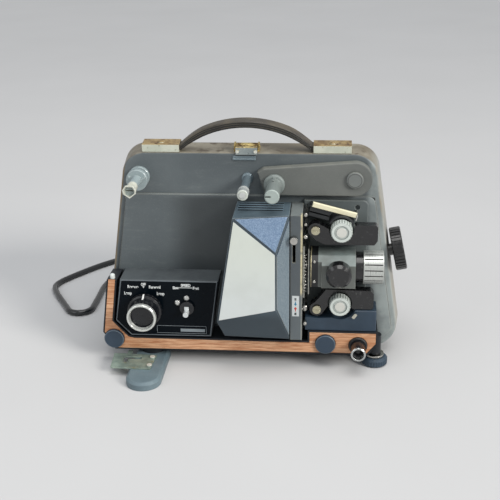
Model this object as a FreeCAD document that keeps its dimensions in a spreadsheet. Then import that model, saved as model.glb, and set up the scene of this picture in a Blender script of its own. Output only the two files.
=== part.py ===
import FreeCAD, Part
import math
import os
import re
import Sketcher

# Movie projector in its carrying case, standing on its swing foot, elevation foot and two rear feet.
# Lengths are millimetres. The viewer stands on the -Y side, +X is to the right, Z is up.
# In the formulas x is the distance from the middle of the case, height is above the table
# and ahead is the distance of a point in front of the case face.

os.makedirs("parts", exist_ok=True)
doc = FreeCAD.newDocument("movie_projector")
sheet = doc.addObject("Spreadsheet::Sheet", "sizes")
V = FreeCAD.Vector

SIZES = {}
NODES = []

FACING = FreeCAD.Rotation(V(1, 0, 0), 90)
ACROSS = FreeCAD.Rotation(V(0, 1, 0), 90)
REARWARD = FreeCAD.Rotation(V(1, 0, 0), -90)
UPRIGHT = FreeCAD.Rotation()


def size(name, value):
    """One driving size in the sheet."""
    row = len(SIZES) + 1
    SIZES[name] = row
    sheet.set("A%d" % row, name)
    sheet.set("B%d" % row, str(value))
    sheet.setAlias("B%d" % row, name)


def link(text):
    """A size formula with its words pointing at the sheet."""
    def cell(match):
        word = match.group(0)
        return "sizes." + word if word in SIZES else word
    return re.sub(r"[a-z][a-z0-9_]*", cell, str(text))


def val(text):
    return float(sheet.evalExpression(link(text)))


def bind(thing, prop, text):
    thing.setExpression(prop, link(text))


def place(thing, x="0", height="0", ahead="0", turn=FACING):
    """Puts a piece at a point of the projector, with its own z axis facing the given way."""
    thing.Placement = FreeCAD.Placement(V(0, 0, 0), turn)
    bind(thing, "Placement.Base.x", "origin_x + %s" % x)
    bind(thing, "Placement.Base.y", "origin_y - (%s)" % ahead)
    bind(thing, "Placement.Base.z", height)
    return thing


def node(thing, name):
    thing.Label = name
    NODES.append(thing)
    return thing


def new_body(name):
    return doc.addObject("PartDesign::Body", name)


def sketch(body, lift="0", plane="XY_Plane"):
    drawing = body.newObject("Sketcher::SketchObject", body.Name + "_outline")
    support = next(p for p in body.Origin.OriginFeatures if p.Role == plane)
    drawing.AttachmentSupport = [(support, "")]
    drawing.MapMode = "FlatFace"
    bind(drawing, ".AttachmentOffset.Base.z", lift)
    return drawing


def fix_point(drawing, edge, spot, x, y):
    for kind, text in (("DistanceX", x), ("DistanceY", y)):
        k = drawing.addConstraint(Sketcher.Constraint(kind, edge, spot, val(text)))
        drawing.setExpression("Constraints[%d]" % k, link(text))


def polygon(drawing, points):
    """Closed outline with straight sides."""
    spots = [V(val(x), val(y), 0) for x, y in points]
    first = drawing.GeometryCount
    total = len(points)
    for i in range(total):
        drawing.addGeometry(Part.LineSegment(spots[i], spots[(i + 1) % total]), False)
    for i in range(total):
        drawing.addConstraint(Sketcher.Constraint("Coincident", first + i, 2, first + (i + 1) % total, 1))
    for i, (x, y) in enumerate(points):
        fix_point(drawing, first + i, 1, x, y)
    return drawing


def rectangle(drawing, left, bottom, right, top):
    return polygon(drawing, [(left, bottom), (right, bottom), (right, top), (left, top)])


def circle(drawing, x, y, radius):
    i = drawing.addGeometry(Part.Circle(V(val(x), val(y), 0), V(0, 0, 1), val(radius)), False)
    fix_point(drawing, i, 3, x, y)
    k = drawing.addConstraint(Sketcher.Constraint("Radius", i, val(radius)))
    drawing.setExpression("Constraints[%d]" % k, link(radius))
    return drawing


def hull(drawing, x1, y1, r1, x2, y2, r2):
    """Outline round two circles, joined by their two outer tangents."""
    a = V(val(x1), val(y1), 0)
    b = V(val(x2), val(y2), 0)
    ra = val(r1)
    rb = val(r2)
    way = math.atan2(b.y - a.y, b.x - a.x)
    lean = math.acos((ra - rb) / (b - a).Length)
    up = V(0, 0, 1)
    far = Part.ArcOfCircle(Part.Circle(a, up, ra), way + lean, way - lean + 2 * math.pi)
    near = Part.ArcOfCircle(Part.Circle(b, up, rb), way - lean, way + lean)
    i = drawing.addGeometry(far, False)
    j = drawing.addGeometry(near, False)
    low = drawing.addGeometry(Part.LineSegment(far.EndPoint, near.StartPoint), False)
    high = drawing.addGeometry(Part.LineSegment(near.EndPoint, far.StartPoint), False)
    for one, spot, other, end in ((i, 2, low, 1), (low, 2, j, 1), (j, 2, high, 1), (high, 2, i, 1)):
        drawing.addConstraint(Sketcher.Constraint("Tangent", one, spot, other, end))
    fix_point(drawing, i, 3, x1, y1)
    fix_point(drawing, j, 3, x2, y2)
    for arc, radius in ((i, r1), (j, r2)):
        k = drawing.addConstraint(Sketcher.Constraint("Radius", arc, val(radius)))
        drawing.setExpression("Constraints[%d]" % k, link(radius))
    return drawing


def pad(body, drawing, length, back=False, draft="0"):
    step = body.newObject("PartDesign::Pad", body.Name + "_pad")
    step.Profile = drawing
    bind(step, "Length", length)
    step.Reversed = back
    bind(step, "TaperAngle", draft)
    doc.recompute()
    return step


def pocket(body, drawing, depth, ahead=False, draft="0"):
    """Cuts backwards from the drawing, or towards the viewer where ahead is set."""
    step = body.newObject("PartDesign::Pocket", body.Name + "_pocket")
    step.Profile = drawing
    bind(step, "Length", depth)
    step.Reversed = ahead
    bind(step, "TaperAngle", draft)
    doc.recompute()
    return step


def turned(body, points):
    """A turned piece: points are (radius, distance along the axis)."""
    drawing = sketch(body, "0", "XZ_Plane")
    polygon(drawing, points)
    step = body.newObject("PartDesign::Revolution", body.Name + "_turned")
    step.Profile = drawing
    step.ReferenceAxis = (drawing, ["V_Axis"])
    step.Angle = 360
    doc.recompute()
    return step


def around(body, feature, count):
    """The feature repeated evenly round the z axis of its body."""
    step = body.newObject("PartDesign::PolarPattern", body.Name + "_ring")
    step.Originals = [feature]
    step.Axis = (next(p for p in body.Origin.OriginFeatures if p.Role == "Z_Axis"), [""])
    step.Angle = 360
    bind(step, "Occurrences", count)
    body.Tip = step
    doc.recompute()
    return step


def upright_edges(feature, spots=None, reach=1.0):
    """Names of the edges that run along z, or of those near the given (x, y) spots."""
    names = []
    for i, edge in enumerate(feature.Shape.Edges):
        a = edge.Vertexes[0].Point
        b = edge.Vertexes[-1].Point
        if abs(a.z - b.z) < 0.5 * (b - a).Length + 0.01:
            continue
        middle = (a + b) * 0.5
        if spots is None or any(math.hypot(middle.x - x, middle.y - y) < reach for x, y in spots):
            names.append("Edge%d" % (i + 1))
    return names


def level_edges(feature, z, reach=0.05):
    """Names of the edges that lie at one distance along z."""
    names = []
    for i, edge in enumerate(feature.Shape.Edges):
        box = edge.BoundBox
        if abs(box.ZMin - z) < reach and abs(box.ZMax - z) < reach:
            names.append("Edge%d" % (i + 1))
    return names


def fillet(body, feature, names, radius):
    step = body.newObject("PartDesign::Fillet", body.Name + "_round")
    step.Base = (feature, names)
    bind(step, "Radius", radius)
    doc.recompute()
    return step


def bevel(body, feature, names, width):
    step = body.newObject("PartDesign::Chamfer", body.Name + "_bevel")
    step.Base = (feature, names)
    bind(step, "Size", width)
    doc.recompute()
    return step


def solid(kind, x="0", y="0", z="0", turn=None, **bound):
    """A box, cylinder, cone, tube of revolution or other plain solid at a local point."""
    thing = doc.addObject("Part::" + kind, kind.lower())
    if turn is not None:
        thing.Placement = FreeCAD.Placement(V(0, 0, 0), turn)
    for prop, text in bound.items():
        bind(thing, prop, text)
    for axis, text in (("x", x), ("y", y), ("z", z)):
        bind(thing, "Placement.Base." + axis, text)
    return thing


def block(left, bottom, back, right, top, front):
    """A box between two corners."""
    return solid("Box", left, bottom, back, Length="(%s) - (%s)" % (right, left),
                 Width="(%s) - (%s)" % (top, bottom), Height="(%s) - (%s)" % (front, back))


def rod(x, y, z, radius, height, turn=None):
    return solid("Cylinder", x, y, z, turn, Radius=radius, Height=height)


def join(*things):
    whole = doc.addObject("Part::MultiFuse", "joined")
    whole.Shapes = list(things)
    return whole


def cut(base, *tools):
    tool = tools[0] if len(tools) == 1 else join(*tools)
    whole = doc.addObject("Part::Cut", "cut")
    whole.Base = base
    whole.Tool = tool
    return whole


# Where the middle of the whole projector lies, set at the end
size("origin_x", 0)
size("origin_y", 0)

# Fits
size("run_gap", 0.05)
size("slide_gap", 0.15)
size("seat_gap", 0.2)
size("curve_gap", 0.4)

# Case
size("case_top", 192)
size("case_bottom", 8)
size("top_half", 108.5)
size("bottom_half", 137)
size("corner_top", 22)
size("corner_bottom", 24)
size("top_cut", 14.5)
size("bottom_cut", 16.5)
size("frame_depth", 24)
size("frame_draft", 6)
size("wall", 2.5)
size("face_thick", 3)
size("plate_thick", 2)
size("field_rise", 2)
size("ledge_drop", 37.5)
size("ledge", "=case_top - ledge_drop")
size("field_inset", 5)
size("cover_back", 96)
size("cover_inset", 9)
size("back_inset", 8)
size("cover_round", 12)

# Control side
size("box_front", 28)
size("box_left", -120.4)
size("box_right", -26.4)
size("box_bottom", 27.6)
size("box_top", 82.8)
size("panel_thick", 1.6)
size("rim", 1.2)
size("dial_x", -92.5)
size("dial_h", 54.5)
size("dial_radius", 12.7)
size("dial_front", 48)
size("speed_x", -54.6)
size("speed_h", 56.9)
size("shaft_radius", 3)

# Wood trim and base
size("base_front", 27.4)
size("wood_thick", 0.8)
size("wood_margin", 1.4)
size("base_left", -133.2)
size("base_right", 115)
size("base_top", 26)
size("leg_top", 82)
size("step_left", 53.2)
size("step_top", 36.4)
size("cap_radius", 9.1)
size("cap_left_x", -122.9)
size("cap_right_x", 68.9)
size("cap_h", 24)
size("button_x", 97.9)
size("button_h", 23)
size("button_radius", 6.3)
size("collar_outer", 8.3)
size("collar_depth", 6)

# Lamp house
size("lamp_top", 148.7)
size("lamp_left", -10.3)
size("lamp_right", 37)
size("lamp_front", 46)
size("lamp_edge", 37)
size("plate_right", 26.2)
size("plate_top", 116.9)
size("plate_low", 63.8)
size("heel_x", -25.9)
size("heel_h", 52.3)
size("toe_x", -19.7)
size("toe_h", 36.5)
size("lamp_bottom", 32.8)
size("shell", 1.6)
size("inlay", 0.6)

# Film path
size("beam_h", 95.3)
size("beam_a", 18)
size("gate_left", 37.8)
size("gate_right", 48)
size("claw_left", 50.7)
size("claw_thick", 1.2)
size("panel_right", 104)
size("panel_top", 152)
size("panel_bottom", 37.5)
size("panel_front", 5)
size("sprocket_x", 81)
size("upper_h", 132)
size("lower_h", 62.8)
size("crown_radius", 9.3)
size("crown_front", 32)
size("sprocket_teeth", 24)
size("film_back", 14)
size("film_width", 8)
size("lever_front", 24)
size("lever_back", 15)
size("upper_pivot_x", 58.8)
size("upper_pivot_h", 131.1)
size("lower_pivot_x", 60.7)
size("lower_pivot_h", 56.5)
size("pivot_radius", 2)
size("holder_left", 55)
size("holder_right", 93.8)
size("lens_radius", 11.4)
size("holder_low", "=beam_h - lens_radius - 2.9")
size("holder_high", "=beam_h + lens_radius + 2.3")
size("holder_front", "=beam_a + lens_radius + 3.6")
size("collar_radius", "=lens_radius + 2.1")
size("grip_radius", "=lens_radius + 3.3")
size("grip_left", 100.6)
size("grip_right", 117.9)
size("grip_ribs", 18)
size("knob_x", 79.3)
size("knob_radius", 10.9)
size("knob_front", "=holder_front + 12")

# Reels
size("arm_x", 91.5)
size("arm_drop", 20.2)
size("arm_h", "=case_top - arm_drop")
size("arm_radius", 15)
size("arm_back", 1.2)
size("arm_front", 9)
size("spindle_x", 22.8)
size("spindle_drop", 24.8)
size("spindle_h", "=case_top - spindle_drop")
size("spindle_radius", 6.35)
size("spindle_front", 44)
size("tip_back", 24)
size("takeup_x", -96.4)
size("takeup_drop", 21.8)
size("takeup_h", "=case_top - takeup_drop")
size("takeup_radius", 9.4)
size("takeup_core", 4.4)
size("post_x", -1.1)
size("post_drop", 22.2)
size("post_h", "=case_top - post_drop")
size("post_front", 49)

# Drive
size("drive_a", -12)
size("motor_h", 49)
size("fan_radius", 24)
size("fan_room", 4)
size("motor_a", "=-(frame_depth + fan_radius + fan_room)")
size("pulley_x", 12)
size("main_pulley", 8)
size("motor_pulley", 4)
size("shutter_x", 42.6)
size("shutter_radius", 34)
size("inching_stand", 3.92)
size("side_slope", "=(bottom_half - top_half) / (case_top - case_bottom)")
size("inching_x", "=bottom_half - (beam_h - case_bottom) * side_slope + inching_stand")
size("inching_radius", 19.5)
size("inching_tilt", 12.5)

# Handle and latch
size("strap_x", -2.2)
size("bracket_depth", 14.4)
size("strap_a", "=-(bracket_depth + 0.4) / 2")
size("strap_width", 11)
size("strap_thick", 4.2)
size("strap_lift", 24)
size("strap_rise", "=case_top + strap_lift")
size("bracket_in", 58)
size("bracket_out", 90.6)
size("bracket_lift", 6.8)
size("bracket_top", "=case_top + bracket_lift")
size("catch_drop", 6.1)

# Feet
size("foot_x", -90)
size("foot_pivot_a", 14)
size("foot_reach", 50)
size("foot_radius", 15.5)
size("foot_thick", 7.4)
size("screw_foot_x", 113.5)
size("screw_foot_a", 16)
size("pad_radius", 11.7)
size("pad_thick", 9)
size("foot_pin", 4)
size("screw_radius", 3.5)
size("screw_top", 27)
size("base_bottom", 13)
size("rear_foot_x", 85)
size("rear_foot_a", -82)

doc.recompute()


def half_width(height, inset="0"):
    """Half the width of the case at a height, as a formula."""
    return "(bottom_half - ((%s) - case_bottom) * side_slope - (%s))" % (height, inset)


def case_outline(drawing, top_drop, side_inset, bottom_lift):
    top = "case_top - (%s)" % top_drop
    bottom = "case_bottom + (%s)" % bottom_lift
    low = half_width(bottom, side_inset)
    high = half_width(top, side_inset)
    return polygon(drawing, [("-%s" % low, bottom), (low, bottom), (high, top), ("-%s" % high, top)])


def hollow_outline(drawing, inset, more="0"):
    """Inside outline of the case, its corners cut off straight; more widens those cuts."""
    inset = "(%s)" % inset
    low_cut = "(bottom_cut + %s)" % more
    high_cut = "(top_cut + %s)" % more
    top = "case_top - %s" % inset
    bottom = "case_bottom + %s" % inset
    spots = []
    for side in ("-", ""):
        way = [(half_width(bottom, "%s + %s" % (inset, low_cut)), bottom),
               (half_width("%s + %s" % (bottom, low_cut), inset), "%s + %s" % (bottom, low_cut)),
               (half_width("%s - %s" % (top, high_cut), inset), "%s - %s" % (top, high_cut)),
               (half_width(top, "%s + %s" % (inset, high_cut)), top)]
        spots += [(side + x, y) for x, y in (way if side == "-" else way[::-1])]
    return polygon(drawing, spots)


def make_case_frame():
    """Pressed front of the case: a face with a raised lower field and a flared rim behind it."""
    body = new_body("case_frame")
    rim = pad(body, case_outline(sketch(body), "0", "0", "0"), "frame_depth", True, "frame_draft")
    high = [n for n in upright_edges(rim) if rim.Shape.getElement(n).BoundBox.YMin > 100]
    rounded = fillet(body, rim, high, "corner_top")
    low = []
    for name in upright_edges(rounded):
        box = rounded.Shape.getElement(name).BoundBox
        if box.YMax < 20 and abs(box.Center.x) > 120:
            low.append(name)
    rounded = fillet(body, rounded, low, "corner_bottom")
    rounded = fillet(body, rounded, level_edges(rounded, 0.0), "wall * 0.7")
    hollow = hollow_outline(sketch(body, "-face_thick"), "wall")
    pocket(body, hollow, "frame_depth", False, "frame_draft")
    field = sketch(body)
    base = "case_bottom + field_inset"
    cut_off = "corner_bottom * 0.6"
    corner = half_width(base, "field_inset + %s" % cut_off)
    low = half_width("%s + %s" % (base, cut_off), "field_inset")
    high = half_width("ledge", "field_inset")
    polygon(field, [("-" + corner, base), (corner, base), (low, "%s + %s" % (base, cut_off)),
                    (high, "ledge"), ("-" + high, "ledge"), ("-" + low, "%s + %s" % (base, cut_off))])
    raised = pad(body, field, "field_rise")
    tops = upright_edges(raised, [(-val(high), val("ledge")), (val(high), val("ledge"))], 1.0)
    raised = fillet(body, raised, tops, "corner_top / 3")
    bevel(body, raised, level_edges(raised, val("field_rise")), "field_rise / 4")
    # Openings for the take-up spindle, the arm pin, the sprocket shafts and the main mechanism
    holes = sketch(body, "field_rise + 1")
    circle(holes, "takeup_x", "takeup_h", "shaft_radius + run_gap")
    circle(holes, "arm_x", "arm_h", "shaft_radius + seat_gap")
    circle(holes, "sprocket_x", "upper_h", "shaft_radius + run_gap")
    circle(holes, "sprocket_x", "lower_h", "shaft_radius + run_gap")
    rectangle(holes, "shutter_x - 1.6", "beam_h - shutter_radius - 4", "shutter_x + 2.4",
              "beam_h + shutter_radius + 4")
    rectangle(holes, "gate_right + 1.2", "beam_h - 12", "gate_right + 4.2", "beam_h + 12")
    rectangle(holes, "lamp_left + 4", "beam_h - 16", "lamp_left + 34", "beam_h + 16")
    circle(holes, "-70", "70", "6")
    pocket(body, holes, "face_thick + field_rise + 2")
    # Opening in the right wall for the inching shaft
    side = sketch(body, "bottom_half - 40", "YZ_Plane")
    circle(side, "beam_h + 4.5", "drive_a", "shaft_radius + 4.4")
    pocket(body, side, "60", True)
    return place(body)


def make_rear_cover():
    """Deep rear half of the case, with cooling slots and a hole for the cord."""
    body = new_body("rear_cover")
    loft = body.newObject("PartDesign::AdditiveLoft", "rear_cover_loft")
    front = case_outline(sketch(body, "-frame_depth - seat_gap"), "cover_inset", "cover_inset - 2", "1.6")
    back = case_outline(sketch(body, "-cover_back"), "cover_inset + back_inset",
                        "cover_inset + back_inset", "1.6")
    loft.Profile = front
    loft.Sections = [back]
    doc.recompute()
    corners = upright_edges(loft)
    rounded = fillet(body, loft, corners, "corner_top - 4")
    rounded = fillet(body, rounded, level_edges(rounded, -val("cover_back")), "cover_round")
    inside = body.newObject("PartDesign::SubtractiveLoft", "rear_cover_inside")
    mouth = case_outline(sketch(body, "-frame_depth"), "cover_inset + wall", "cover_inset - 2 + wall",
                         "1.6 + wall")
    end = case_outline(sketch(body, "-cover_back + wall"), "cover_inset + back_inset + wall + 6",
                       "cover_inset + back_inset + wall + 6", "1.6 + wall + 6")
    inside.Profile = mouth
    inside.Sections = [end]
    doc.recompute()
    slots = sketch(body, "-cover_back - 1")
    for row in range(6):
        level = "130 - %d * 9" % row
        rectangle(slots, "-30", level, "40", "%s + 4" % level)
    circle(slots, "-85", "25", "5.5 + seat_gap")
    slotted = pocket(body, slots, "wall + 6", True)
    holes = sketch(body, "-(case_bottom + 2)", "XZ_Plane")
    circle(holes, "rear_foot_x", "rear_foot_a", "3 + seat_gap")
    circle(holes, "-rear_foot_x", "rear_foot_a", "3 + seat_gap")
    drilled = body.newObject("PartDesign::Pocket", "rear_cover_foot_holes")
    drilled.Profile = holes
    drilled.Length = 20
    drilled.Midplane = True
    doc.recompute()
    side = sketch(body, "60", "YZ_Plane")
    for row in range(4):
        level = "60 + %d * 10" % row
        rectangle(side, level, "-cover_back + 26", "%s + 5" % level, "-frame_depth - 14")
    pocket(body, side, "100", True)
    return place(body)


def make_chassis_plate():
    """Plate across the back of the case frame that carries the drive."""
    body = new_body("chassis_plate")
    flare = "tan(frame_draft) * (frame_depth - 2 * plate_thick)"
    gap = "wall + seat_gap - %s" % flare
    pad(body, hollow_outline(sketch(body, "-frame_depth"), gap, "2"), "plate_thick")
    holes = sketch(body, "0")
    circle(holes, "takeup_x", "takeup_h", "shaft_radius + run_gap")
    circle(holes, "sprocket_x", "upper_h", "shaft_radius + run_gap")
    circle(holes, "sprocket_x", "lower_h", "shaft_radius + run_gap")
    circle(holes, "arm_x", "arm_h", "shaft_radius + seat_gap")
    rectangle(holes, "shutter_x - 1.6", "beam_h - shutter_radius", "shutter_x + 2.4",
              "beam_h + shutter_radius")
    rectangle(holes, "pulley_x - 5", "motor_h - 12", "pulley_x + 5", "beam_h + 16")
    circle(holes, "-40", "60", "5")
    pocket(body, holes, "frame_depth + 2")
    # Bearing blocks of the main shaft, in front of the plate
    for left in ("pulley_x + 9", "sprocket_x + 12"):
        bearing = sketch(body, "-frame_depth + plate_thick - 0.5")
        rectangle(bearing, left, "beam_h - 7", "%s + 7" % left, "beam_h + 7")
        pad(body, bearing, "frame_depth + drive_a + 5 - plate_thick")
    bore = sketch(body, "0", "YZ_Plane")
    circle(bore, "beam_h", "drive_a", "shaft_radius + run_gap")
    step = pocket(body, bore, "200", True)
    step.Midplane = True
    doc.recompute()
    return place(body)


def make_control_box():
    """Hollow housing of the control panel on the left of the face."""
    body = new_body("control_box")
    shape = pad(body, panel_outline(sketch(body, "field_rise"), "0"), "box_front - field_rise")
    shape = bevel(body, shape, level_edges(shape, val("box_front")), "0.6")
    pocket(body, panel_outline(sketch(body, "box_front"), "rim"), "panel_thick")
    pocket(body, panel_outline(sketch(body, "field_rise"), "2 * rim"),
           "box_front - field_rise - panel_thick - 2", True)
    holes = sketch(body, "box_front")
    circle(holes, "dial_x", "dial_h", "shaft_radius + 1")
    circle(holes, "speed_x", "speed_h", "shaft_radius + 0.5")
    pocket(body, holes, "box_front")
    return place(body)


def panel_outline(drawing, inset):
    """Five-sided outline of the control panel, moved inwards by an inset."""
    inset = "(%s)" % inset
    return polygon(drawing, [
        ("box_left + 6.4 + %s" % inset, "box_top - %s" % inset),
        ("box_left + %s" % inset, "box_bottom + 14.6 + %s / 2" % inset),
        ("box_left + 13.4 + %s / 2" % inset, "box_bottom + %s" % inset),
        ("box_right - 7.4 - %s" % inset, "box_bottom + 0.6 + %s" % inset),
        ("box_right - %s" % inset, "box_top - %s" % inset)])


def make_control_panel():
    """Gloss black facia let into the control box."""
    body = new_body("control_panel")
    pad(body, panel_outline(sketch(body, "box_front - panel_thick"), "rim + seat_gap"), "panel_thick - 0.4")
    holes = sketch(body, "box_front")
    circle(holes, "dial_x", "dial_h", "shaft_radius + run_gap")
    circle(holes, "speed_x", "speed_h", "shaft_radius + run_gap - 0.5")
    pocket(body, holes, "panel_thick + 1")
    return place(body)


def base_outline(drawing, inset):
    """Outline of the L-shaped base moulding, or of the wood let into it."""
    inset = "(%s)" % inset
    return polygon(drawing, [
        ("base_left + 7.2 + %s" % inset, "leg_top"),
        ("base_left + %s" % inset, "base_bottom + 17"),
        ("base_left + 10.2 + %s" % inset, "base_bottom + %s * 0.9" % inset),
        ("base_right - 8 - %s" % inset, "base_bottom + %s * 1.5" % inset),
        ("base_right - %s" % inset, "base_bottom + 12"),
        ("base_right - %s" % inset, "step_top - %s" % inset),
        ("step_left + %s" % inset, "step_top - %s" % inset),
        ("step_left + %s" % inset, "base_top - %s" % inset),
        ("base_left + 29.2 - %s / 3" % inset, "base_top - %s" % inset),
        ("base_left + 23.6 - %s / 3" % inset, "base_top + 1.2 - %s" % inset),
        ("base_left + 10.8 - %s" % inset, "base_top + 15.4"),
        ("base_left + 16.2 - %s" % inset, "leg_top")])


def make_base_frame():
    """Dark moulding round the foot of the face, with pads for the two front feet."""
    body = new_body("base_frame")
    pad(body, base_outline(sketch(body, "field_rise"), "0"), "base_front - field_rise")
    pocket(body, base_outline(sketch(body, "base_front"), "wood_margin - seat_gap / 2"), "wood_thick")
    seats = sketch(body, "base_front")
    circle(seats, "cap_left_x", "cap_h", "cap_radius + seat_gap")
    circle(seats, "cap_right_x", "cap_h", "cap_radius + seat_gap")
    pocket(body, seats, "wood_thick")
    holes = sketch(body, "base_front")
    circle(holes, "button_x", "button_h", "collar_outer + seat_gap")
    pocket(body, holes, "collar_depth")
    bore = sketch(body, "base_front")
    circle(bore, "button_x", "button_h", "4 + slide_gap")
    pocket(body, bore, "18")
    # Blind hole for the swing foot pin and bore for the elevation screw, both from below
    for x, ahead, radius, depth in (("foot_x", "foot_pivot_a", "foot_pin", "base_bottom + 9"),
                                    ("screw_foot_x", "screw_foot_a", "screw_radius", "screw_top + 1")):
        under = sketch(body, "0", "XZ_Plane")
        circle(under, x, ahead, "%s + run_gap" % radius)
        pocket(body, under, depth)
    return place(body)


def make_wood_trim():
    """Wood-grained strip let into the base moulding."""
    body = new_body("wood_trim")
    pad(body, base_outline(sketch(body, "base_front - wood_thick"), "wood_margin + seat_gap / 2"),
        "wood_thick + 0.2")
    holes = sketch(body, "base_front + 1")
    circle(holes, "button_x", "button_h", "collar_outer + seat_gap")
    circle(holes, "cap_left_x", "cap_h", "cap_radius + seat_gap")
    circle(holes, "cap_right_x", "cap_h", "cap_radius + seat_gap")
    pocket(body, holes, "wood_thick + 2")
    return place(body)


def make_trim_caps():
    """The two round black caps over the fixings of the base moulding."""
    caps = []
    for x in ("cap_left_x", "cap_right_x"):
        caps.append(rod(x, "cap_h", "base_front - wood_thick", "cap_radius", "wood_thick + 2"))
        caps.append(solid("Cone", x, "cap_h", "base_front + 2", Radius1="cap_radius",
                          Radius2="cap_radius - 0.6", Height="0.6"))
    return place(join(*caps))


def planar(points):
    return Part.Face(Part.makePolygon([V(*p) for p in points] + [V(*points[0])]))


def lamp_points():
    """Corners of the lamp house: the front ones, then the ones on the face."""
    front = {
        "crown": (val("lamp_left"), val("lamp_top"), val("lamp_front")),
        "peak": (val("plate_right"), val("plate_top"), val("lamp_front")),
        "chin": (val("plate_right"), val("plate_low"), val("lamp_front")),
        "heel": (val("heel_x"), val("heel_h"), val("lamp_front")),
        "foot": (val("lamp_right"), val("lamp_bottom"), val("lamp_edge")),
        "top": (val("lamp_right"), val("lamp_top"), val("lamp_edge"))}
    # The toe lies in the plane of chin, heel and foot
    chin = V(*front["chin"])
    normal = (V(*front["heel"]) - chin).cross(V(*front["foot"]) - chin)
    x = val("toe_x")
    h = val("toe_h")
    front["toe"] = (x, h, chin.z - (normal.x * (x - chin.x) + normal.y * (h - chin.y)) / normal.z)
    back = {k: (p[0], p[1], val("field_rise")) for k, p in front.items()}
    return front, back


def make_lamp_house():
    """Faceted shell over the lamp, open at the back, with cooling slots in its top."""
    f, b = lamp_points()
    faces = [
        planar([f["crown"], f["heel"], f["chin"], f["peak"]]),
        planar([f["crown"], f["peak"], f["top"]]),
        planar([f["top"], f["peak"], f["chin"], f["foot"]]),
        planar([f["chin"], f["heel"], f["toe"], f["foot"]]),
        planar([b["crown"], b["top"], f["top"], f["crown"]]),
        planar([b["top"], b["foot"], f["foot"], f["top"]]),
        planar([b["foot"], b["toe"], f["toe"], f["foot"]]),
        planar([b["toe"], b["heel"], f["heel"], f["toe"]]),
        planar([b["heel"], b["crown"], f["crown"], f["heel"]]),
        planar([b["crown"], b["heel"], b["toe"], b["foot"], b["top"]])]
    full = Part.makeSolid(Part.makeShell(faces))
    if full.Volume < 0:
        full.reverse()
    # The hollow is the same shape drawn in towards its middle, and open at the back
    box = full.BoundBox
    middle = box.Center
    thick = val("shell")
    scale = FreeCAD.Matrix()
    scale.scale(V(1 - 2 * thick / box.XLength, 1 - 2 * thick / box.YLength, 1 - thick / box.ZLength))
    pull = FreeCAD.Matrix()
    pull.move(V(-middle.x, -middle.y, -box.ZMin))
    push = FreeCAD.Matrix()
    push.move(V(middle.x, middle.y, box.ZMin - 0.01))
    shell = full.cut(full.transformGeometry(push * scale * pull))
    for k in range(4):
        corner = V(-8, val("lamp_top") - val("shell") * 2, 4.5 + 5.9 * k)
        slot = Part.makeBox(39, val("shell") * 3, 3.2, corner)
        shell = shell.cut(slot)
    beam = Part.makeCylinder(9, 8, V(val("lamp_right") - 6, val("beam_h"), val("beam_a")), V(1, 0, 0))
    house = doc.addObject("Part::Feature", "lamp_house")
    house.Shape = shell.cut(beam)
    return place(house)


def make_name_plate():
    """Plain pale plate on the front facet of the lamp house."""
    body = new_body("name_plate")
    outline = polygon(sketch(body, "lamp_front"), [
        ("lamp_left + 0.9", "lamp_top - 2.8"), ("heel_x + 1.9", "heel_h + 1.7"),
        ("plate_right - 1", "plate_low + 0.9"), ("plate_right - 1", "plate_top - 0.4")])
    pad(body, outline, "inlay")
    return place(body)


def make_facet_inlays():
    """Thin tinted sheets on the triangular and the narrow facet of the lamp house."""
    f, _ = lamp_points()
    sheets = []
    for names in (("crown", "peak", "top"), ("top", "peak", "chin", "foot")):
        corners = [V(*f[n]) for n in names]
        middle = sum(corners[1:], corners[0]) * (1.0 / len(corners))
        inset = [middle + (c - middle) * 0.92 for c in corners]
        normal = (corners[1] - corners[0]).cross(corners[2] - corners[0])
        normal.normalize()
        if normal.z < 0:
            normal = normal * -1
        face = Part.Face(Part.makePolygon(inset + [inset[0]]))
        sheets.append(face.extrude(normal * val("inlay")))
    inlays = doc.addObject("Part::Feature", "facet_inlays")
    inlays.Shape = Part.makeCompound(sheets)
    return place(inlays)


def make_lamp():
    """Reflector lamp, axis along the beam."""
    body = new_body("lamp_bulb")
    turned(body, [("0", "0"), ("5", "0"), ("5", "5"), ("14", "14"), ("14", "16"), ("13", "16"),
                  ("4.4", "7"), ("3.6", "15"), ("0", "16.5")])
    return place(body, "-3", "beam_h", "beam_a", ACROSS)


def make_lamp_socket():
    """Ceramic lamp socket on its bracket."""
    seat = block("-14", "beam_h - 8", "beam_a - 8", "-3", "beam_h + 8", "beam_a + 8")
    bracket = block("-15.6", "beam_h - 10", "field_rise", "-14", "beam_h + 10", "beam_a + 8")
    return place(join(seat, bracket))


def make_gate_cover():
    """Narrow hollow cover between the lamp house and the film gate."""
    outer = block("gate_left", "lamp_bottom - 0.8", "field_rise", "gate_right", "lamp_top", "lamp_edge")
    inner = block("gate_left + 1.2", "lamp_bottom + 0.8", "field_rise - 1", "gate_right - 1.2",
                  "lamp_top - 1.4", "lamp_edge - 1.4")
    slot = block("39.8", "106", "lamp_edge - 5", "42.2", "130", "lamp_edge + 1")
    beam = rod("gate_left - 2", "beam_h", "beam_a", "8", "14", ACROSS)
    lever = block("gate_right - 3", "56.5", "29.4", "gate_right + 1", "67", "33.4")
    return place(cut(outer, inner, slot, beam, lever))


def make_framing_knob():
    """Knurled framing knob on its slider."""
    grip = rod("0", "0", "lamp_edge + 0.3", "3.2", "5.6")
    stem = rod("0", "0", "lamp_edge - 2.6", "1", "3.2")
    slider = block("-2", "-3", "lamp_edge - 3.4", "2", "3", "lamp_edge - 1.6")
    return place(join(grip, stem, slider), "41", "128")


def make_format_lever():
    """Chrome film format lever at the side of the gate cover."""
    arm = rod("gate_right - 4", "60", "31.4", "1.2", "5.4", ACROSS)
    ball = solid("Sphere", "gate_right + 2.4", "60", "31.4", Radius="2.1")
    foot = block("gate_right - 4.4", "58", "30.2", "gate_right - 2.4", "62", "32.6")
    return place(join(arm, ball, foot))


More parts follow.
